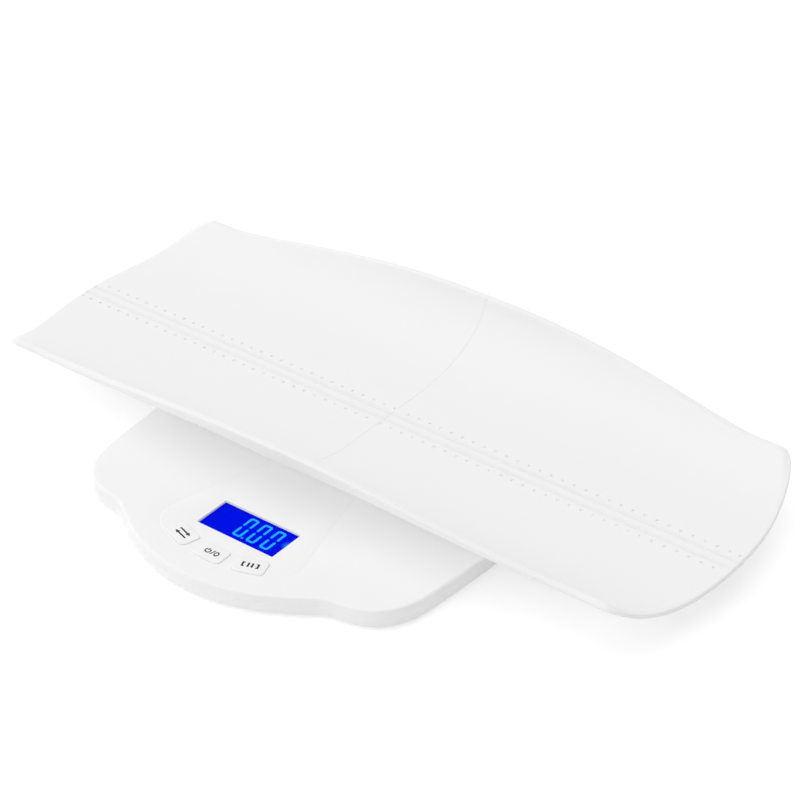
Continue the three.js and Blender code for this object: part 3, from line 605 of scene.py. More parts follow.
def display_material(colours):
    """Lit ground of the display: it brightens from the left to the middle, and has a pale patch at the
    right-hand edge, where its lamp shines in."""
    material = lit_material("Display Glow", colours.display, 0.7, 40.0, 0.1)
    tree = material.node_tree
    shader = tree.nodes["Principled BSDF"]
    glow = shader.inputs["Emission Color"].links[0].from_socket
    sweep = ramp(tree, object_place(tree, "X"), -34.0, 10.0, 0.95, 1.0)
    shade = node(tree, "VectorMath", {0: glow, "Scale": sweep}, operation="SCALE")
    lamp = (PATCH_PLACE[0] / 1000, (SHIFT_Y + PATCH_PLACE[1]) / 1000, GLASS_TOP / 1000)
    away = node(tree, "VectorMath", {0: object_place(tree), 1: lamp}, operation="DISTANCE")
    patch = ramp(tree, away.outputs["Value"], *PATCH_REACH, 0.6, 0.0, "SMOOTHSTEP")
    feed(tree, shader, {"Emission Color": blend(tree, shade.outputs["Vector"], colours.figures, patch)})
    return material


def dress(look, *names):
    """Gives carried-over solids their finish."""
    for name in names:
        solid = frame["nodes"][name]
        solid.data.materials.clear()
        solid.data.materials.append(finishes()[look])


# Tray

NARROWING = 13.6
NARROWING_LENGTH = 245.0
END_RADIUS = 287.0
CORNER_START = 268.0
CORNER_END = 94.0
SIDE_POINTS = 700
FLAT_HALF = 44.2
BEND_WIDTH = 82.5
BEND_HEIGHT = 50.0
RIM_AT_TIP = 1.8
RIM_FADE = 56.0
RIM_FILLET = 1.4
RIM_EDGE = 1.1
SKIRT_AT_TIP = 3.6
SKIRT_FADE = 250.0
SKIRT_WALL = 2.2
# Lower edge of the skirt: inset and height
SKIRT_FOOT = np.array([
    (0.0, 2.0), (0.0, 0.4), (0.12, 0.12), (0.4, 0), (1.8, 0), (2.08, 0.12), (SKIRT_WALL, 0.4),
])
# How far the sections next to the seam lie below the rest, and how much of the rim goes down with them
SEAM_EDGE = (0.22, 0.09, 0.02)
SEAM_EDGE_POINTS = 8
# Rows of dots: side, first place along X and share of the depth
DOT_ROWS = ((1, 11.18, 1.0), (-1, 1.62, 0.9))
DOT_Y = 11.17
DOT_PITCH = 10.0
DOTS_PER_ROW = 30
TIP_START = 300.0
LAST_DOT_PULL = 1.8
# First of the sections that lie between two dots, and places across a dot that get one, as shares of its
# radius
BETWEEN_DOTS = 6.4
DOT_STEPS = np.array([-1.2, -1.0, -0.9, -0.65, -0.3, 0.0, 0.3, 0.65, 0.9, 1.0, 1.2])
GROOVE_Y = 4.6
GROOVE_HALF = 2.5
# Places in Y of the columns on the tray's flat part that are clear of the groove and the dots
PLAIN_COLUMNS = (0.0, 1.8, 8.0, 14.0, 20.0, 28.0, 36.0, FLAT_HALF)
# Places of the underside's columns, as shares of the half width
UNDER_STEPS = np.array([1.0, 0.985, 0.96, 0.92, 0.86, 0.78, 0.66, 0.5, 0.36, 0.0])


def trough(y):
    """Rise of the tray over its floor: flat up to FLAT_HALF, then a quarter ellipse."""
    share = np.clip((np.abs(y) - FLAT_HALF) / BEND_WIDTH, 0, 0.999)
    return BEND_HEIGHT * (1 - np.sqrt(1 - share**2))


def trough_slope(y):
    """Angle of the trough's wall to the horizontal."""
    share = np.clip((np.abs(y) - FLAT_HALF) / BEND_WIDTH, 0, 0.999)
    return np.arctan2(BEND_HEIGHT * share, BEND_WIDTH * np.sqrt(1 - share**2))


def tray_plan(sizes):
    """Outline of the tray's rear right quarter, seam to tip: a soft S, y = w - n (1 - (1 - s^2.8)^1.35) with
    s = x / NARROWING_LENGTH up to 1, then straight; a quadratic curve round the corner; and the arc
    x = l - y^2 / 2r across the end. Returns points and normals."""
    half_width, half_length = mm(sizes.tray_half_width), mm(sizes.tray_half_length)
    x = np.linspace(SEAM, CORNER_START, SIDE_POINTS)
    share = np.minimum(x / NARROWING_LENGTH, 1)
    side = np.column_stack([x, half_width - NARROWING * (1 - (1 - share**2.8) ** 1.35)])
    y = np.linspace(CORNER_END, 0, 420)
    end = np.column_stack([half_length - y**2 / (2 * END_RADIUS), y])
    # The corner is drawn towards the point where the side's line meets the end's tangent
    meet = (end[0, 0] - CORNER_END / END_RADIUS * (side[-1, 1] - CORNER_END), side[-1, 1])
    corner = quadratic(side[-1], meet, end[0], 160)
    points = np.concatenate([side, corner[1:], end[1:]])
    chord = np.gradient(points, axis=0)
    normal = unit(np.column_stack([-chord[:, 1], chord[:, 0]]))
    normal[0] = (0, 1)
    normal[-1] = (1, 0)
    return points, normal


def dot_centres():
    """Centres and shares of the full depth of the dots of one half, in two rows. The outermost one of the
    rear row is drawn in a little, clear of the rim."""
    rows, shares = [], []
    for side, first, share in DOT_ROWS:
        x = first + DOT_PITCH * np.arange(DOTS_PER_ROW)
        x = np.where(x > TIP_START, x - LAST_DOT_PULL, x)
        rows.append(np.column_stack([x, np.full(DOTS_PER_ROW, side * DOT_Y)]))
        shares.append(np.full(DOTS_PER_ROW, share))
    return np.concatenate(rows), np.concatenate(shares)


def tray_stations(sizes, dots, across):
    """Plan points, normals and rim widths at the sections of one half: close together across each dot, and
    spread over the corner and the end."""
    points, normal = tray_plan(sizes)
    share = np.clip((CORNER_END - points[:, 1]) / RIM_FADE, 0, 1)
    rim = mm(sizes.rim_width) + (RIM_AT_TIP - mm(sizes.rim_width)) * share
    wanted = np.unique(np.round(np.concatenate([
        (dots[:, :1] + across[None]).ravel(),
        np.arange(BETWEEN_DOTS, TIP_START, DOT_PITCH),
        [SEAM, SEAM + 0.08, SEAM + 0.2, SEAM + 0.4],
    ]), 2))
    wanted = wanted[np.concatenate([[True], np.diff(wanted) > 0.05])]
    lip_x = np.maximum.accumulate((points - normal * rim[:, None])[:, 0])
    rising = np.concatenate([[True], np.diff(lip_x) > 1e-5])
    index = np.arange(len(points), dtype=float)
    at = np.interp(wanted[wanted < lip_x[-1] - 0.4], lip_x[rising], index[rising])
    at = np.unique(np.round(np.concatenate([at, np.linspace(SIDE_POINTS, len(points) - 1, 80)]), 3))
    columns = [np.interp(at, index, column) for column in (*points.T, *normal.T, rim)]
    return np.column_stack(columns[:2]), unit(np.column_stack(columns[2:4])), columns[4]


def trough_columns(lip_start, across):
    """Places in Y of the trough's columns, from the middle to the start of the rim's fillet: on the flat part
    close together across the groove and the dots, and on the bend at even steps of the ellipse's angle."""
    groove = GROOVE_Y + GROOVE_HALF * np.linspace(-1, 1, 7)
    flat = np.sort(np.concatenate([PLAIN_COLUMNS, groove, DOT_Y + across]))
    steps = np.linspace(0, 1, 18)[1:]
    reach = np.arcsin(np.clip((lip_start - FLAT_HALF) / BEND_WIDTH, 0, 0.999))
    bend = np.where(
        (lip_start > FLAT_HALF)[:, None],
        FLAT_HALF + BEND_WIDTH * np.sin(reach[:, None] * steps[None]),
        lip_start[:, None],
    )
    return np.concatenate([np.minimum(flat[None], lip_start[:, None]), bend], 1)


def tray_half_sheets(sizes):
    """One tray half, seam at x = SEAM, drawn as cross-sections from the seam to the tip.

    Each section runs from the middle of the trough out to the rim, over a fillet, the flat lip and a rounded
    edge, down the skirt, and back along the underside. Its rear side mirrors the front. The trough's top is
    z = floor + trough(y) less the dots, (1 - (r / R)^4) deep, and less the two grooves, a raised cosine wide.
    """
    floor, wall = mm(sizes.tray_floor), mm(sizes.tray_wall)
    dots, dot_shares = dot_centres()
    radius = mm(sizes.dot_radius)
    across = DOT_STEPS * radius
    plan, out, rim = tray_stations(sizes, dots, across)
    lip = plan - out * rim[:, None]
    slope = trough_slope(lip[:, 1])
    fillet_back = RIM_FILLET * np.tan(slope / 2) * np.cos(slope)
    y_top = trough_columns(lip[:, 1] - fillet_back, across)
    x_top = np.broadcast_to(lip[:, :1], y_top.shape)
    z_top = floor + trough(y_top)

    # Rim: the fillet, the lip, the rounded edge, the skirt, and up inside it
    turn = slope[:, None] * np.linspace(0, 1, 6)[None, 1:]
    run = RIM_FILLET * (np.sin(slope)[:, None] - np.sin(slope[:, None] - turn))
    rise = RIM_FILLET * (np.cos(slope[:, None] - turn) - np.cos(slope)[:, None])
    fillet_z = z_top[:, -1:] + rise
    rim_z = fillet_z[:, -1:]
    corner = np.linspace(0, math.pi / 2, 6)
    fade = 1 - np.minimum(plan[:, 0] / SKIRT_FADE, 1)
    low = rim_z - (SKIRT_AT_TIP + (mm(sizes.skirt_depth) - SKIRT_AT_TIP) * fade**1.6)[:, None]
    edge_inset = np.concatenate([RIM_EDGE * (1 - np.sin(corner)), SKIRT_FOOT[:, 0], [SKIRT_WALL]])
    rim_inset = np.concatenate([
        (rim + fillet_back)[:, None] - run, np.broadcast_to(edge_inset, (len(plan), len(edge_inset))),
    ], 1)
    rim_height = np.concatenate([
        fillet_z, rim_z - RIM_EDGE * (1 - np.cos(corner)), low + SKIRT_FOOT[:, 1], rim_z - wall,
    ], 1)
    rim_plan = plan[:, None] - out[:, None] * rim_inset[..., None]

    # Underside: the top moved in by the wall, along the trough's normal
    y_under = lip[:, 1:] * UNDER_STEPS[None]
    lean = trough_slope(y_under)
    z_under = np.minimum(floor + trough(y_under) - wall * np.cos(lean), rim_z - wall)
    y_low = y_under + np.where(UNDER_STEPS[None] > 0, wall * np.sin(lean), 0)
    x_under = np.broadcast_to(lip[:, :1], y_low.shape)

    def sided(sign):
        top = np.stack([x_top, sign * y_top, z_top], -1)
        away = np.hypot(top[..., 0, None] - dots[:, 0], top[..., 1, None] - dots[:, 1])
        nearest = away.argmin(-1)
        away = away.min(-1) / radius
        top[..., 2] -= mm(sizes.dot_depth) * dot_shares[nearest] * np.clip(1 - away**4, 0, 1)
        across_groove = np.clip(np.abs(np.abs(top[..., 1]) - GROOVE_Y) / GROOVE_HALF, 0, 1)
        top[..., 2] -= mm(sizes.groove_depth) * (1 + np.cos(math.pi * across_groove)) / 2
        edge_part = np.concatenate([rim_plan * [1, sign], rim_height[..., None]], -1)
        under = np.stack([x_under, sign * y_low, z_under], -1)
        side = np.concatenate([top, edge_part, under], 1)
        for row, drop in enumerate(SEAM_EDGE):
            side[row, :top.shape[1] + SEAM_EDGE_POINTS, 2] -= drop
        return side

    loop = np.concatenate([sided(-1), sided(1)[:, ::-1]], 1)
    return [grid(loop, True), one_face(loop[0])]


SEAM_RIB = (2.0, 66.0)
LONG_RIB_Y = (-38.0, 38.0)
LONG_RIB_HALF = 0.9
LONG_RIB_DEPTH = 2.4
LONG_RIB_END = 286.0
PEG_SHOULDER = PLATEAU + FIT
PEG_PROFILE = (
    (0, 9.8), (3.9, 9.8), (4.5, 10.4), (4.9, PEG_SHOULDER), (6.6, PEG_SHOULDER), (7, PEG_SHOULDER + 0.4),
)


def tray_under_sheets(sizes):
    """Ribs and pegs under one tray half: the seam rib, two long ribs, and four pegs with a shoulder that
    rests over the base and a tapered pin below it."""
    floor, wall = mm(sizes.tray_floor), mm(sizes.tray_wall)
    into = floor - wall / 2
    width, half = SEAM_RIB
    sheets = box_sheets((SEAM, -half, PEG_SHOULDER), (SEAM + width, half, into), 0.3)
    for y in LONG_RIB_Y:
        low = (SEAM + 1, y - LONG_RIB_HALF, floor - wall - LONG_RIB_DEPTH)
        sheets += box_sheets(low, (LONG_RIB_END, y + LONG_RIB_HALF, into), 0.3)
    for x, y in PEG_PLACES:
        top = into + float(trough(np.array(y)))
        sheets.append(lathe(x, y, [*PEG_PROFILE, (7, top), (0, top)]))
    return sheets


class SCALE_OT_tray(bpy.types.Operator):
    """Builds both tray halves with their dots, grooves, rims and pegs"""

    bl_idname = "scale.tray"
    bl_label = "Tray Halves"

    def execute(self, context):
        sizes = context.scene.scale_sizes
        sheets = tray_half_sheets(sizes) + tray_under_sheets(sizes)
        for name, spin in (("right", 1), ("left", -1)):
            turned = [(points * [spin, spin, 1], faces) for points, faces in sheets]
            make_piece(
                f"tray_half_{name}", turned, "tray", f"tray_{name}_body", f"tray_{name}"
            )
        return {"FINISHED"}


# Base

BASE_HALF = 156.2
BASE_SIDE_RADIUS = 1390.0
FRONT_FLAT = 189.5
FRONT_START = BASE_HALF * 0.66
FRONT_END = 146.0
REAR_Y = 120.0
REAR_RADIUS = 3000.0
REAR_START = BASE_HALF * 0.77
REAR_END = 84.0
BOW_RADIUS = 128.0
BOW_BLEND = 12.0
COVER_EDGE = 1.5
COVER_EDGE_TOP = 16.6
SHELL_EDGE = 1.2
SHELL_EDGE_TOP = 3.25
PANEL_RADIUS = 111.5
PANEL_HALF = 49.5
PANEL_SHOULDER = (64.0, -190.5)
PANEL_SIDE = (62.0, -176.0)
PANEL_REAR = (35.0, -70.0)
# Profile of the shallow step round the panel: inset, and height over the plateau
PANEL_STEP = ((0, 0), (0.2, -0.03), (0.5, -0.11), (0.8, -0.15), (1.1, -0.13), (1.5, -0.04))
KEY_CORNER = 3.6
KEY_GAP = 0.12
DISPLAY_X = 1.6
DISPLAY_Y = -163.5
WINDOW_SEAT = 15.76
WINDOW_DRAFT = 0.45
WINDOW_CORNER = 0.9
WINDOW_WELL = (73.0, 35.5)
WINDOW_WELL_Y = -163.0
SOCKET_RADIUS = 5.2
SOCKET_PROFILE = (
    (-0.4, PLATEAU), (-0.12, PLATEAU - 0.12), (0, PLATEAU - 0.4), (0, 9.0), (-1.8, 9.0), (-1.8, COVER_UNDER),
)
FOOT_WELL_RADIUS = 16.6
FOOT_WELL = (
    (-0.5, BELLY), (-0.15, BELLY + 0.15), (0, BELLY + 0.5), (0, 6.7), (-3.6, 6.7), (-3.6, BELLY_INSIDE),
)
SCREW_WELL_RADIUS = 3.0
SCREW_WELL = (
    (-0.3, BELLY), (0, BELLY + 0.3), (0, 4.1), (1.4, 4.1), (1.4, 6.0), (-2.0, 6.0), (-2.0, BELLY_INSIDE),
)
DOOR_WELL = ((-0.3, BELLY), (0, BELLY + 0.3), (0, 14.7), (-1.5, 14.7), (-1.5, BELLY_INSIDE))
# Middles of the slots for the door's hooks, and half a slot's width
HOOK_SLOTS = (-14.0, 14.0)
HOOK_SLOT_HALF = 4.3


def base_plan():
    """Closed plan of the base, anticlockwise. The front line and the bow's circle are blended by a smooth
    maximum, y = -(flat + (s + sqrt(s^2 + k^2)) / 2) with s = bow(x) - flat; the sides are shallow arcs, and
    quadratic curves round the corners."""
    def front_y(x):
        spread = np.sqrt(np.maximum(BOW_RADIUS**2 - x**2, 0)) - BOW_CENTRE_Y - FRONT_FLAT
        return -(FRONT_FLAT + (spread + np.hypot(spread, BOW_BLEND)) / 2)

    def side_x(y):
        return BASE_HALF - y**2 / (2 * BASE_SIDE_RADIUS)

    x = np.linspace(-FRONT_START, FRONT_START, 900)
    front = np.column_stack([x, front_y(x)])
    y = np.linspace(-FRONT_END, REAR_END, 500)
    side = np.column_stack([side_x(y), y])
    x = np.linspace(REAR_START, -REAR_START, 500)
    rear = np.column_stack([x, REAR_Y - x**2 / (2 * REAR_RADIUS)])
    lower = quadratic(front[-1], (side_x(FRONT_FLAT), -FRONT_FLAT), side[0], 120)
    upper = quadratic(side[-1], (side_x(REAR_Y), rear[0, 1]), rear[0], 120)
    right = np.concatenate([lower[1:], side[1:], upper[1:]])
    loop = resample(np.concatenate([front, right, rear[1:-1], right[::-1] * [-1, 1]]), 520, 2.0)
    return loop, normals_of(loop)


def panel_plan():
    """Closed plan of the display panel: an arc along the bow, rounded shoulders, and sides that draw
    together towards the tray."""
    drop = math.sqrt(PANEL_RADIUS**2 - PANEL_HALF**2)
    a = np.linspace(math.atan2(-drop, -PANEL_HALF), math.atan2(-drop, PANEL_HALF), 300)
    arc = np.column_stack([PANEL_RADIUS * np.cos(a), BOW_CENTRE_Y + PANEL_RADIUS * np.sin(a)])
    shoulder = quadratic(arc[-1], PANEL_SHOULDER, PANEL_SIDE, 60)[1:]
    right = np.concatenate([shoulder, np.linspace(PANEL_SIDE, PANEL_REAR, 120)[1:]])
    left = right[::-1] * [-1, 1]
    rear = np.linspace(right[-1], left[0], 80)[1:-1]
    loop = resample(np.concatenate([arc, right, rear, left]), 360, 1.6)
    return loop, normals_of(loop)


def key_place(index):
    """Place and turn of a key on the bow: -1 left, 0 middle, 1 right."""
    angle = math.radians(KEY_ANGLE) * index
    return KEY_ARC * math.sin(angle), BOW_CENTRE_Y - KEY_ARC * math.cos(angle), angle


def rounded_edge(radius):
    """Profile of the rounded edge of an opening in the panel."""
    return quarter((-radius, PANEL_TOP), (0, PANEL_TOP - radius), 5)


def add_well(sheets, rings, near, far):
    """Adds the closed wall of a hole between two flat sheets, and its outline to the holes of both."""
    sheets.append(grid(rings, True))
    near.append(rings[0, :, :2])
    far.append(rings[-1, :, :2])


def base_cover_sheets(sizes):
    """The base's upper moulding: the plan carried down a crowned margin, a rounded edge and a straight wall,
    and back up inside, with flat sheets for the plateau, the panel and the underside, and walls round the
    display opening, the key openings and the peg sockets."""
    margin = mm(sizes.margin)
    share = np.linspace(1, 0, 14)
    fall = PLATEAU - COVER_EDGE_TOP
    profile = [(COVER_EDGE + (margin - COVER_EDGE) * s, PLATEAU - fall * (1 - s) ** 2) for s in share]
    profile += quarter((COVER_EDGE, COVER_EDGE_TOP), (0, COVER_EDGE_TOP - COVER_EDGE), 7)[1:]
    low = PARTING + 0.1
    profile += [(0, low + 0.14), (0.04, low + 0.04), (0.14, low), (1.6, low), (1.8, low + 0.2)]
    profile += [(1.8, 11.7), (4.0, 13.5), (margin, COVER_UNDER)]
    shell = ring(*base_plan(), profile)
    step = [(inset, PLATEAU + height) for inset, height in PANEL_STEP]
    rise = ring(*panel_plan(), step + [(1.9, PANEL_TOP - 0.02), (2.2, PANEL_TOP)])
    sheets = [grid(shell, True), grid(rise, True)]
    in_panel, in_plateau, in_under = [], [], []

    window, normal = rounded_rectangle(mm(sizes.window_width), mm(sizes.window_depth), WINDOW_CORNER)
    window = window + [DISPLAY_X, DISPLAY_Y]
    frame_ring = ring(window, normal, rounded_edge(0.2) + [(WINDOW_DRAFT, WINDOW_SEAT)])
    well, _ = rounded_rectangle(*WINDOW_WELL, WINDOW_CORNER)
    well = well + [0, WINDOW_WELL_Y]
    seat = [at_height(well, WINDOW_SEAT), at_height(well, COVER_UNDER)]
    add_well(sheets, np.concatenate([frame_ring, seat]), in_panel, in_under)
    key_loop, key_normal = rounded_rectangle(
        mm(sizes.key_width) + 2 * KEY_GAP, mm(sizes.key_depth) + 2 * KEY_GAP, KEY_CORNER + KEY_GAP
    )
    for index in KEY_NAMES.values():
        hole = turned_about(key_loop, key_normal, *key_place(index))
        add_well(sheets, ring(*hole, rounded_edge(0.15) + [(0, COVER_UNDER)]), in_panel, in_under)
    for x, y in SOCKET_PLACES:
        add_well(sheets, ring(*circle(x, y, SOCKET_RADIUS), SOCKET_PROFILE), in_plateau, in_under)
    sheets.append(cap(shell[0, :, :2], [rise[0, :, :2], *in_plateau], PLATEAU))
    sheets.append(cap(rise[-1, :, :2], in_panel, PANEL_TOP))
    sheets.append(cap(shell[-1, :, :2], in_under, COVER_UNDER))
    return sheets


def base_shell_sheets():
    """The base's lower moulding: the plan carried down the wall and round to the belly, and back up inside,
    with wells for the feet, the screws and the battery compartment."""
    plan = base_plan()
    low_edge = quarter((0, SHELL_EDGE_TOP), (SHELL_EDGE, SHELL_EDGE_TOP - SHELL_EDGE), 6, upright=True)
    outer = [(0.14, PARTING), (0.04, PARTING - 0.04), (0, PARTING - 0.14), *low_edge, (2.4, BELLY)]
    inner = [(0.14, PARTING), (2.1, PARTING), (2.1, 11.0), (2.3, 11.2), (3.3, 11.2), (3.3, 5.5)]
    outer_ring, inner_ring = ring(*plan, outer), ring(*plan, inner + [(9.5, BELLY_INSIDE)])
    sheets = [grid(outer_ring, True), grid(inner_ring, True)]
    belly, inside_holes = [], []
    for x, y in FOOT_PLACES.values():
        add_well(sheets, ring(*circle(x, y, FOOT_WELL_RADIUS, 72), FOOT_WELL), belly, inside_holes)
    for x, y in SCREW_PLACES:
        add_well(sheets, ring(*circle(x, y, SCREW_WELL_RADIUS, 32), SCREW_WELL), belly, inside_holes)
    door, normal = rounded_rectangle(2 * DOOR_HALF[0], 2 * DOOR_HALF[1], 0.4, 3)
    add_well(sheets, ring(door + [0, DOOR_Y], normal, DOOR_WELL), belly, inside_holes)
    sheets.append(cap(outer_ring[-1, :, :2], belly, BELLY))
    sheets.append(cap(inner_ring[-1, :, :2], inside_holes, BELLY_INSIDE))
    return sheets


def cut_boxes(piece, boxes):
    """Cuts straight slots out of a finished piece with a Boolean modifier, and keeps the result."""
    sheets = [sheet for low, high in boxes for sheet in box_sheets(low, high)]
    cutter = make_piece("slot_cutter", sheets, None, piece["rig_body"])
    cutting = piece.modifiers.new("Slots", "BOOLEAN")
    cutting.operation = "DIFFERENCE"
    cutting.solver = "EXACT"
    cutting.object = cutter
    depsgraph = bpy.context.evaluated_depsgraph_get()
    result = bpy.data.meshes.new_from_object(piece.evaluated_get(depsgraph))
    piece.modifiers.clear()
    piece.data = result
    bpy.data.objects.remove(cutter)


class SCALE_OT_base_cover(bpy.types.Operator):
    """Builds the base's upper moulding with its display panel"""

    bl_idname = "scale.base_cover"
    bl_label = "Base Cover"

    def execute(self, context):
        sheets = base_cover_sheets(context.scene.scale_sizes)
        make_piece("base_top", sheets, "base", "base", "base_cover")
        return {"FINISHED"}


class SCALE_OT_base_shell(bpy.types.Operator):
    """Builds the base's lower moulding with its wells and battery compartment"""

    bl_idname = "scale.base_shell"
    bl_label = "Base Shell"

    def execute(self, context):
        shell = make_piece("base_bottom", base_shell_sheets(), "base", "base", "base_shell")
        front, rear = DOOR_Y + DOOR_HALF[1] - 1, DOOR_Y + DOOR_HALF[1] + 2.5
        cut_boxes(shell, [
            ((x - HOOK_SLOT_HALF, front, BELLY_INSIDE), (x + HOOK_SLOT_HALF, rear, BELLY_INSIDE + 4))
            for x in HOOK_SLOTS
        ])
        return {"FINISHED"}


# Display

GLASS_TOP = 14.4
FIGURE_LOW = GLASS_TOP + 0.01
FIGURE_HIGH = GLASS_TOP + 0.05
FIGURES = 3
FIGURE_WIDTH = 7.7
FIGURE_PITCH = 12.45
FIGURES_LEFT = -6.5
FIGURES_BOTTOM = -173.3
BAR_WIDTH = 1.75
BAR_REACH = 0.35
BAR_BREAK = 0.6
# Length of a bar's point, as a share of half its width
BAR_POINT = 0.9
POINT_PLACE = (1.7, 0.7)
POINT_RADIUS = 0.85
# Bars of a nought: shares of the figure's width and height, and whether the bar is upright
NOUGHT = (
    (0.5, 1.0, False), (0.0, 0.75, True), (1.0, 0.75, True),
    (0.0, 0.25, True), (1.0, 0.25, True), (0.5, 0.0, False),
)


def nought_sheets(left, height):
    """A nought of six lit bars, each a thin plate with pointed ends. The upright bars leave a break at the
    figure's middle."""
    span_x, span_y = FIGURE_WIDTH - BAR_WIDTH, height - BAR_WIDTH
    wide = BAR_WIDTH / 2
    sheets = []
    for share_x, share_y, upright in NOUGHT:
        x = left + wide + share_x * span_x
        y = FIGURES_BOTTOM + wide + share_y * span_y
        half = (span_y / 4 if upright else span_x / 2) + BAR_REACH
        if upright:
            half -= BAR_BREAK
            y += BAR_BREAK if share_y > 0.5 else -BAR_BREAK
        tip = half - wide * BAR_POINT
        plan = np.array([(-half, 0), (-tip, -wide), (tip, -wide), (half, 0), (tip, wide), (-tip, wide)])
        if upright:
            plan = plan[:, ::-1] * [-1, 1]
        sheets += plate_sheets(plan + [x, y], FIGURE_LOW, FIGURE_HIGH)
    return sheets


class SCALE_OT_display(bpy.types.Operator):
    """Builds the lit figures and finishes the display's layers"""

    bl_idname = "scale.display"
    bl_label = "Display"

    def execute(self, context):
        height = mm(context.scene.scale_sizes.digit_height)
        sheets = []
        for index in range(FIGURES):
            sheets += nought_sheets(FIGURES_LEFT + index * FIGURE_PITCH, height)
        point_x, point_y = FIGURES_LEFT + FIGURE_WIDTH + POINT_PLACE[0], FIGURES_BOTTOM + POINT_PLACE[1]
        point = [(0, FIGURE_LOW), (POINT_RADIUS, FIGURE_LOW), (POINT_RADIUS, FIGURE_HIGH), (0, FIGURE_HIGH)]
        sheets.append(lathe(point_x, point_y, point, 20))
        make_piece("display_figures", sheets, "figures", "base")
        dress("display", "display_panel")
        dress("pane", "display_window")
        dress("lamp", "backlight")
        return {"FINISHED"}


# Keys

KEY_NAMES = {"left": -1, "middle": 0, "right": 1}
KEY_RISE = 1.0
KEY_CROWN = 0.15
KEY_EDGE = 0.7
FLANGE_WIDTH = 1.4
FLANGE_HEIGHT = 1.3
INK_DEPTH = 0.08
INK_RISE = 0.02
ARROW = np.array([(6.4, 0), (2.8, 1.7), (2.8, 0.65), (-6.2, 0.65), (-6.2, -0.65), (2.8, -0.65), (2.8, -1.7)])
BRACKET = np.array([
    (6.5, -2.6), (6.5, 2.6), (4.2, 2.6), (4.2, 1.5), (5.1, 1.5), (5.1, -1.5), (4.2, -1.5), (4.2, -2.6),
])


def key_sheets(sizes, index):
    """One key: a rounded plan carried up a straight wall and over a soft crown, on a thin flange. The crown
    is z = top - KEY_CROWN * s^2, with s the share of the way from the middle to the rim."""
    place = key_place(index)
    plan, normal = rounded_rectangle(mm(sizes.key_width), mm(sizes.key_depth), KEY_CORNER)
    middle = np.array(place[:2])
    top = PANEL_TOP + KEY_RISE
    flange_top = COVER_UNDER - FIT
    profile = [(-FLANGE_WIDTH, flange_top - FLANGE_HEIGHT), (-FLANGE_WIDTH, flange_top), (0, flange_top)]
    edge_top = top - KEY_CROWN
    profile += quarter((0, edge_top - KEY_EDGE), (KEY_EDGE, edge_top), 6, upright=True)
    side = ring(*turned_about(plan, normal, *place), profile)
    s = np.linspace(1, 0, 9)[1:, None, None]
    crown = np.concatenate([
        middle + (side[-1, :, :2] - middle) * s,
        np.broadcast_to(top - KEY_CROWN * s * s, (len(s), side.shape[1], 1)),
    ], -1)
    return [grid(np.concatenate([side, crown]), True), one_face(side[0])], top


def arc_band(radius, width, start, end, count):
    """Plan of a band along an arc, angles in degrees anticlockwise from +X."""
    a = np.radians(np.linspace(start, end, count))
    ray = np.column_stack([np.cos(a), np.sin(a)])
    return np.concatenate([ray * (radius + width / 2), ray[::-1] * (radius - width / 2)])


def bar_plan(x, y, width, height, lean=0.0):
    """Plan of an upright bar whose top leans to the right."""
    low, high = -height / 2, height / 2
    left, right = -width / 2, width / 2
    corners = [(left - lean, low), (right - lean, low), (right + lean, high), (left + lean, high)]
    return np.array(corners) + [x, y]


def mark_plans(index):
    """Plans of the generic mark on each key: two opposed arrows; a broken ring with a bar, a stroke and a
    nought; and two bars between brackets."""
    if index == -1:
        return [ARROW + [0, 2.0], -ARROW - [0, 2.0]]
    if index == 0:
        broken_ring = arc_band(2.05, 1.0, 125, 415, 28) + [-3.4, 0]
        nought = arc_band(2.0, 1.2, 90.5, 449.5, 40) * [0.75, 1.0] + [4.3, 0]
        return [broken_ring, bar_plan(-3.4, 1.7, 1.0, 2.4), bar_plan(0.8, 0, 1.0, 5.0, 0.8), nought]
    return [bar_plan(-1.5, 0, 1.5, 4.8), bar_plan(1.5, 0, 1.5, 4.8), BRACKET * [-1, 1], BRACKET]


class SCALE_OT_keys(bpy.types.Operator):
    """Builds the three keys and their marks"""

    bl_idname = "scale.keys"
    bl_label = "Keys"

    def execute(self, context):
        for name, index in KEY_NAMES.items():
            sheets, top = key_sheets(context.scene.scale_sizes, index)
            body = f"key_{name}_body"
            make_piece(f"key_cap_{name}", sheets, "keys", body, f"key_{name}")
            ink = []
            for plan in mark_plans(index):
                spun, _ = turned_about(plan, plan, *key_place(index))
                ink += plate_sheets(spun, top - INK_DEPTH, top + INK_RISE)
            make_piece(f"key_mark_{name}", ink, "marks", body)
        return {"FINISHED"}


# Underside

FOOT_PROFILE = (
    (0, 1.5), (13.4, 1.5), (14.6, 1.62), (15.3, 2.1), (15.6, 2.8), (15.6, 4.5), (15.3, 4.9), (4.6, 4.9),
    (4.6, 6.7), (0, 6.7),
)
PAD_EDGE = ((12.95, 0.2), (13.0, 0.35), (13.0, 1.0), (12.8, 1.2), (0, 1.2))
# One rib of a pad: radius from the rib's start, and height
PAD_RIB = ((0, 0.0), (1.1, 0.0), (1.25, 0.18), (2.05, 0.18))
PAD_RIB_STARTS = (2.0, 4.2, 6.4, 8.6, 10.8)
GRIP_RIDGES = 5
GRIP_START = -16.5
GRIP_PITCH = 1.6
GRIP_RIDGE = 0.7
# Half the first ridge's length, and what each next one loses
GRIP_HALF = 7.0
GRIP_TAPER = 1.1


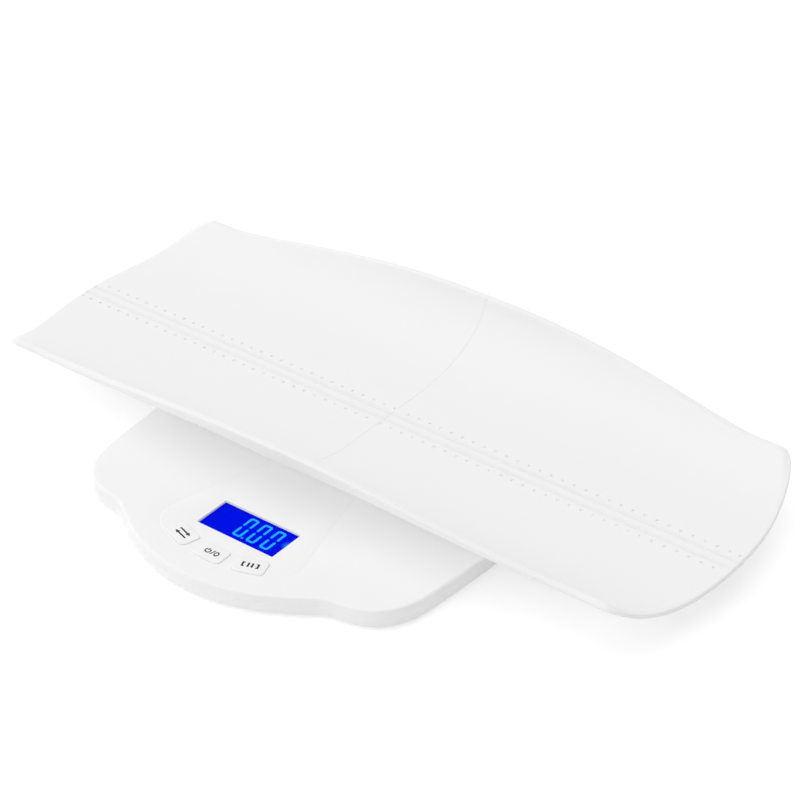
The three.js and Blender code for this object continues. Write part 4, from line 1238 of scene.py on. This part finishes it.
class SCALE_OT_feet(bpy.types.Operator):
    """Builds the four feet and their ribbed rubber pads"""

    bl_idname = "scale.feet"
    bl_label = "Feet"

    def execute(self, context):
        ribs = [(start + r, height) for start in PAD_RIB_STARTS for r, height in PAD_RIB]
        for corner, (x, y) in FOOT_PLACES.items():
            disc = [lathe(x, y, FOOT_PROFILE, 72)]
            make_piece(f"foot_disc_{corner}", disc, "foot", "base", f"foot_{corner}")
            sole = [lathe(x, y, [(0, 0.0), *ribs, *PAD_EDGE], 72)]
            make_piece(f"foot_sole_{corner}", sole, "rubber", "base", f"foot_pad_{corner}")
        return {"FINISHED"}


class SCALE_OT_battery_door(bpy.types.Operator):
    """Finishes the battery door and adds its grip ridges"""

    bl_idname = "scale.battery_door"
    bl_label = "Battery Door"

    def execute(self, context):
        sheets = []
        for k in range(GRIP_RIDGES):
            y = DOOR_Y + GRIP_START + GRIP_PITCH * k
            half = GRIP_HALF - GRIP_TAPER * k
            sheets += box_sheets((-half, y, BELLY - 0.4), (half, y + GRIP_RIDGE, BELLY + 0.3), 0.2)
        make_piece("door_grip", sheets, "base", "battery_door_body")
        dress("base", "battery_door")
        return {"FINISHED"}


class SCALE_OT_inner_pieces(bpy.types.Operator):
    """Finishes the board, switches, weighing plates, cells, contacts and screws"""

    bl_idname = "scale.inner_pieces"
    bl_label = "Inner Pieces"

    def execute(self, context):
        dress("board", "circuit_board")
        dress("switch", *(f"switch_{key}" for key in KEY_NAMES))
        dress("steel", *(f"load_cell_{corner}" for corner in FOOT_PLACES))
        dress("jacket", *(f"battery_{k}" for k in range(1, 5)))
        dress("spring", "battery_contact_left", "battery_contact_right")
        dress("steel", *(f"screw_{k}" for k in range(1, 7)))
        return {"FINISHED"}


# Stage

SHADOW_SHARE = 1.07
FLOOR_LIFT = 1.09
FLOOR_SPAN = 30.0
CEILING_DROP = 0.67
LEFT_SHARE = 0.36
TOWARDS_LEFT = (-0.95, -0.3, 0.0)
FILL_ANGLE = 60.0
# The camera's place in millimetres from the middle of the tray's floor, and its focal length in pixels
CAMERA_PLACE = (975.67, -1264.93, 1083.59)
FOCAL_PIXELS = 2581.71
PICTURE_PIXELS = 800
SENSOR_WIDTH = 36.0


def floor_material(colour):
    """White floor. It lights the object from below as plain white paint. The camera sees SHADOW_SHARE times
    that paint, and an even glow that lifts open floor to FLOOR_LIFT, so that it reads as white. Highlights
    and clear pieces see the same as the camera."""
    material, tree, shader = new_material("Studio Floor")
    rays = node(tree, "LightPath").outputs
    seen = arith(tree, "MAXIMUM", rays["Is Camera Ray"], rays["Is Glossy Ray"])
    seen = arith(tree, "MAXIMUM", seen, rays["Is Transmission Ray"])
    paint = [c * SHADOW_SHARE for c in colour]
    lift = [FLOOR_LIFT - c for c in paint]
    feed(tree, shader, {
        "Base Color": blend(tree, colour, paint, seen),
        "Roughness": 0.9,
        "Specular IOR Level": 0.0,
        "Emission Color": blend(tree, (0, 0, 0), lift, seen),
        "Emission Strength": 1.0,
    })
    return material


def studio_world(strength):
    """White room that is darker overhead and brighter towards the left: light = 1 - CEILING_DROP * rise +
    LEFT_SHARE * share of the direction that points left."""
    world = bpy.data.worlds.new("Studio")
    world.use_nodes = True
    tree = world.node_tree
    direction = node(tree, "TexCoord").outputs["Generated"]
    parts = node(tree, "SeparateXYZ", {"Vector": direction})
    left = node(tree, "VectorMath", {0: direction, 1: TOWARDS_LEFT}, operation="DOT_PRODUCT")
    rise = arith(tree, "MAXIMUM", parts.outputs["Z"], 0.0)
    ceiling = arith(tree, "MULTIPLY_ADD", rise, -CEILING_DROP, 1.0)
    light = arith(tree, "MULTIPLY_ADD", left.outputs["Value"], LEFT_SHARE, ceiling)
    light = arith(tree, "MULTIPLY", light, strength)
    feed(tree, tree.nodes["Background"], {"Color": (1, 1, 1, 1), "Strength": light})
    return world


class SCALE_OT_stage(bpy.types.Operator):
    """Lays the white floor and sets the camera, the room's light and the top fill"""

    bl_idname = "scale.stage"
    bl_label = "Stage"

    def execute(self, context):
        scene, settings = context.scene, context.scene.scale_stage
        mesh = bpy.data.meshes.new("studio_floor")
        corners = [(x * FLOOR_SPAN, y * FLOOR_SPAN, 0) for x, y in ((-1, -1), (1, -1), (1, 1), (-1, 1))]
        mesh.from_pydata(corners, [], [(0, 1, 2, 3)])
        mesh.materials.append(floor_material(scene.scale_colours.floor))
        floor = bpy.data.objects.new("studio_floor", mesh)
        scene.collection.objects.link(floor)

        scene.world = studio_world(settings.sky)
        # A broad fill from straight above, without shadow or highlight
        sun = bpy.data.lights.new("Top Fill", "SUN")
        sun.energy = settings.top_light
        sun.angle = math.radians(FILL_ANGLE)
        sun.use_shadow = False
        lamp = bpy.data.objects.new("Top Fill", sun)
        lamp.visible_glossy = False
        scene.collection.objects.link(lamp)

        turn, rise = settings.camera_turn, settings.camera_rise
        right = np.array([math.cos(turn), math.sin(turn), 0.0])
        ahead = np.array([-math.sin(turn) * math.cos(rise), math.cos(turn) * math.cos(rise), -math.sin(rise)])
        up = np.cross(right, ahead)
        place = (np.array(CAMERA_PLACE) + [0, SHIFT_Y, mm(scene.scale_sizes.tray_floor)]) / 1000
        camera = bpy.data.objects.new("Camera", bpy.data.cameras.new("Camera"))
        camera.data.sensor_width = SENSOR_WIDTH
        camera.data.lens = FOCAL_PIXELS / PICTURE_PIXELS * SENSOR_WIDTH
        camera.data.clip_end = 100.0
        camera.matrix_world = Matrix((
            (right[0], up[0], -ahead[0], place[0]),
            (right[1], up[1], -ahead[1], place[1]),
            (right[2], up[2], -ahead[2], place[2]),
            (0, 0, 0, 1),
        ))
        scene.collection.objects.link(camera)
        scene.camera = camera
        scene.view_settings.view_transform = "Standard"
        return {"FINISHED"}


class SCALE_PT_panel(bpy.types.Panel):
    """Lists the scale's sizes, colours and building steps"""

    bl_idname = "SCALE_PT_panel"
    bl_label = "Weighing Scale"
    bl_space_type = "VIEW_3D"
    bl_region_type = "UI"
    bl_category = "Weighing Scale"

    def draw(self, context):
        layout = self.layout
        for group in (getattr(context.scene, name) for name in GROUPS):
            box = layout.box()
            for key in group.__annotations__:
                box.prop(group, key)
        for operator in OPERATORS:
            layout.operator(operator.bl_idname)


OPERATORS = (
    SCALE_OT_stage,
    SCALE_OT_tray,
    SCALE_OT_base_cover,
    SCALE_OT_base_shell,
    SCALE_OT_display,
    SCALE_OT_keys,
    SCALE_OT_feet,
    SCALE_OT_battery_door,
    SCALE_OT_inner_pieces,
)
CLASSES = (*GROUPS.values(), *OPERATORS, SCALE_PT_panel)


def register():
    for cls in CLASSES:
        bpy.utils.register_class(cls)
    for name, group in GROUPS.items():
        setattr(bpy.types.Scene, name, bpy.props.PointerProperty(type=group))


def unregister():
    for name in GROUPS:
        delattr(bpy.types.Scene, name)
    for cls in reversed(CLASSES):
        bpy.utils.unregister_class(cls)


def main():
    """Registers the classes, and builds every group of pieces."""
    register()
    for operator in OPERATORS:
        group, name = operator.bl_idname.split(".")
        getattr(getattr(bpy.ops, group), name)()


if __name__ == "__main__":
    main()
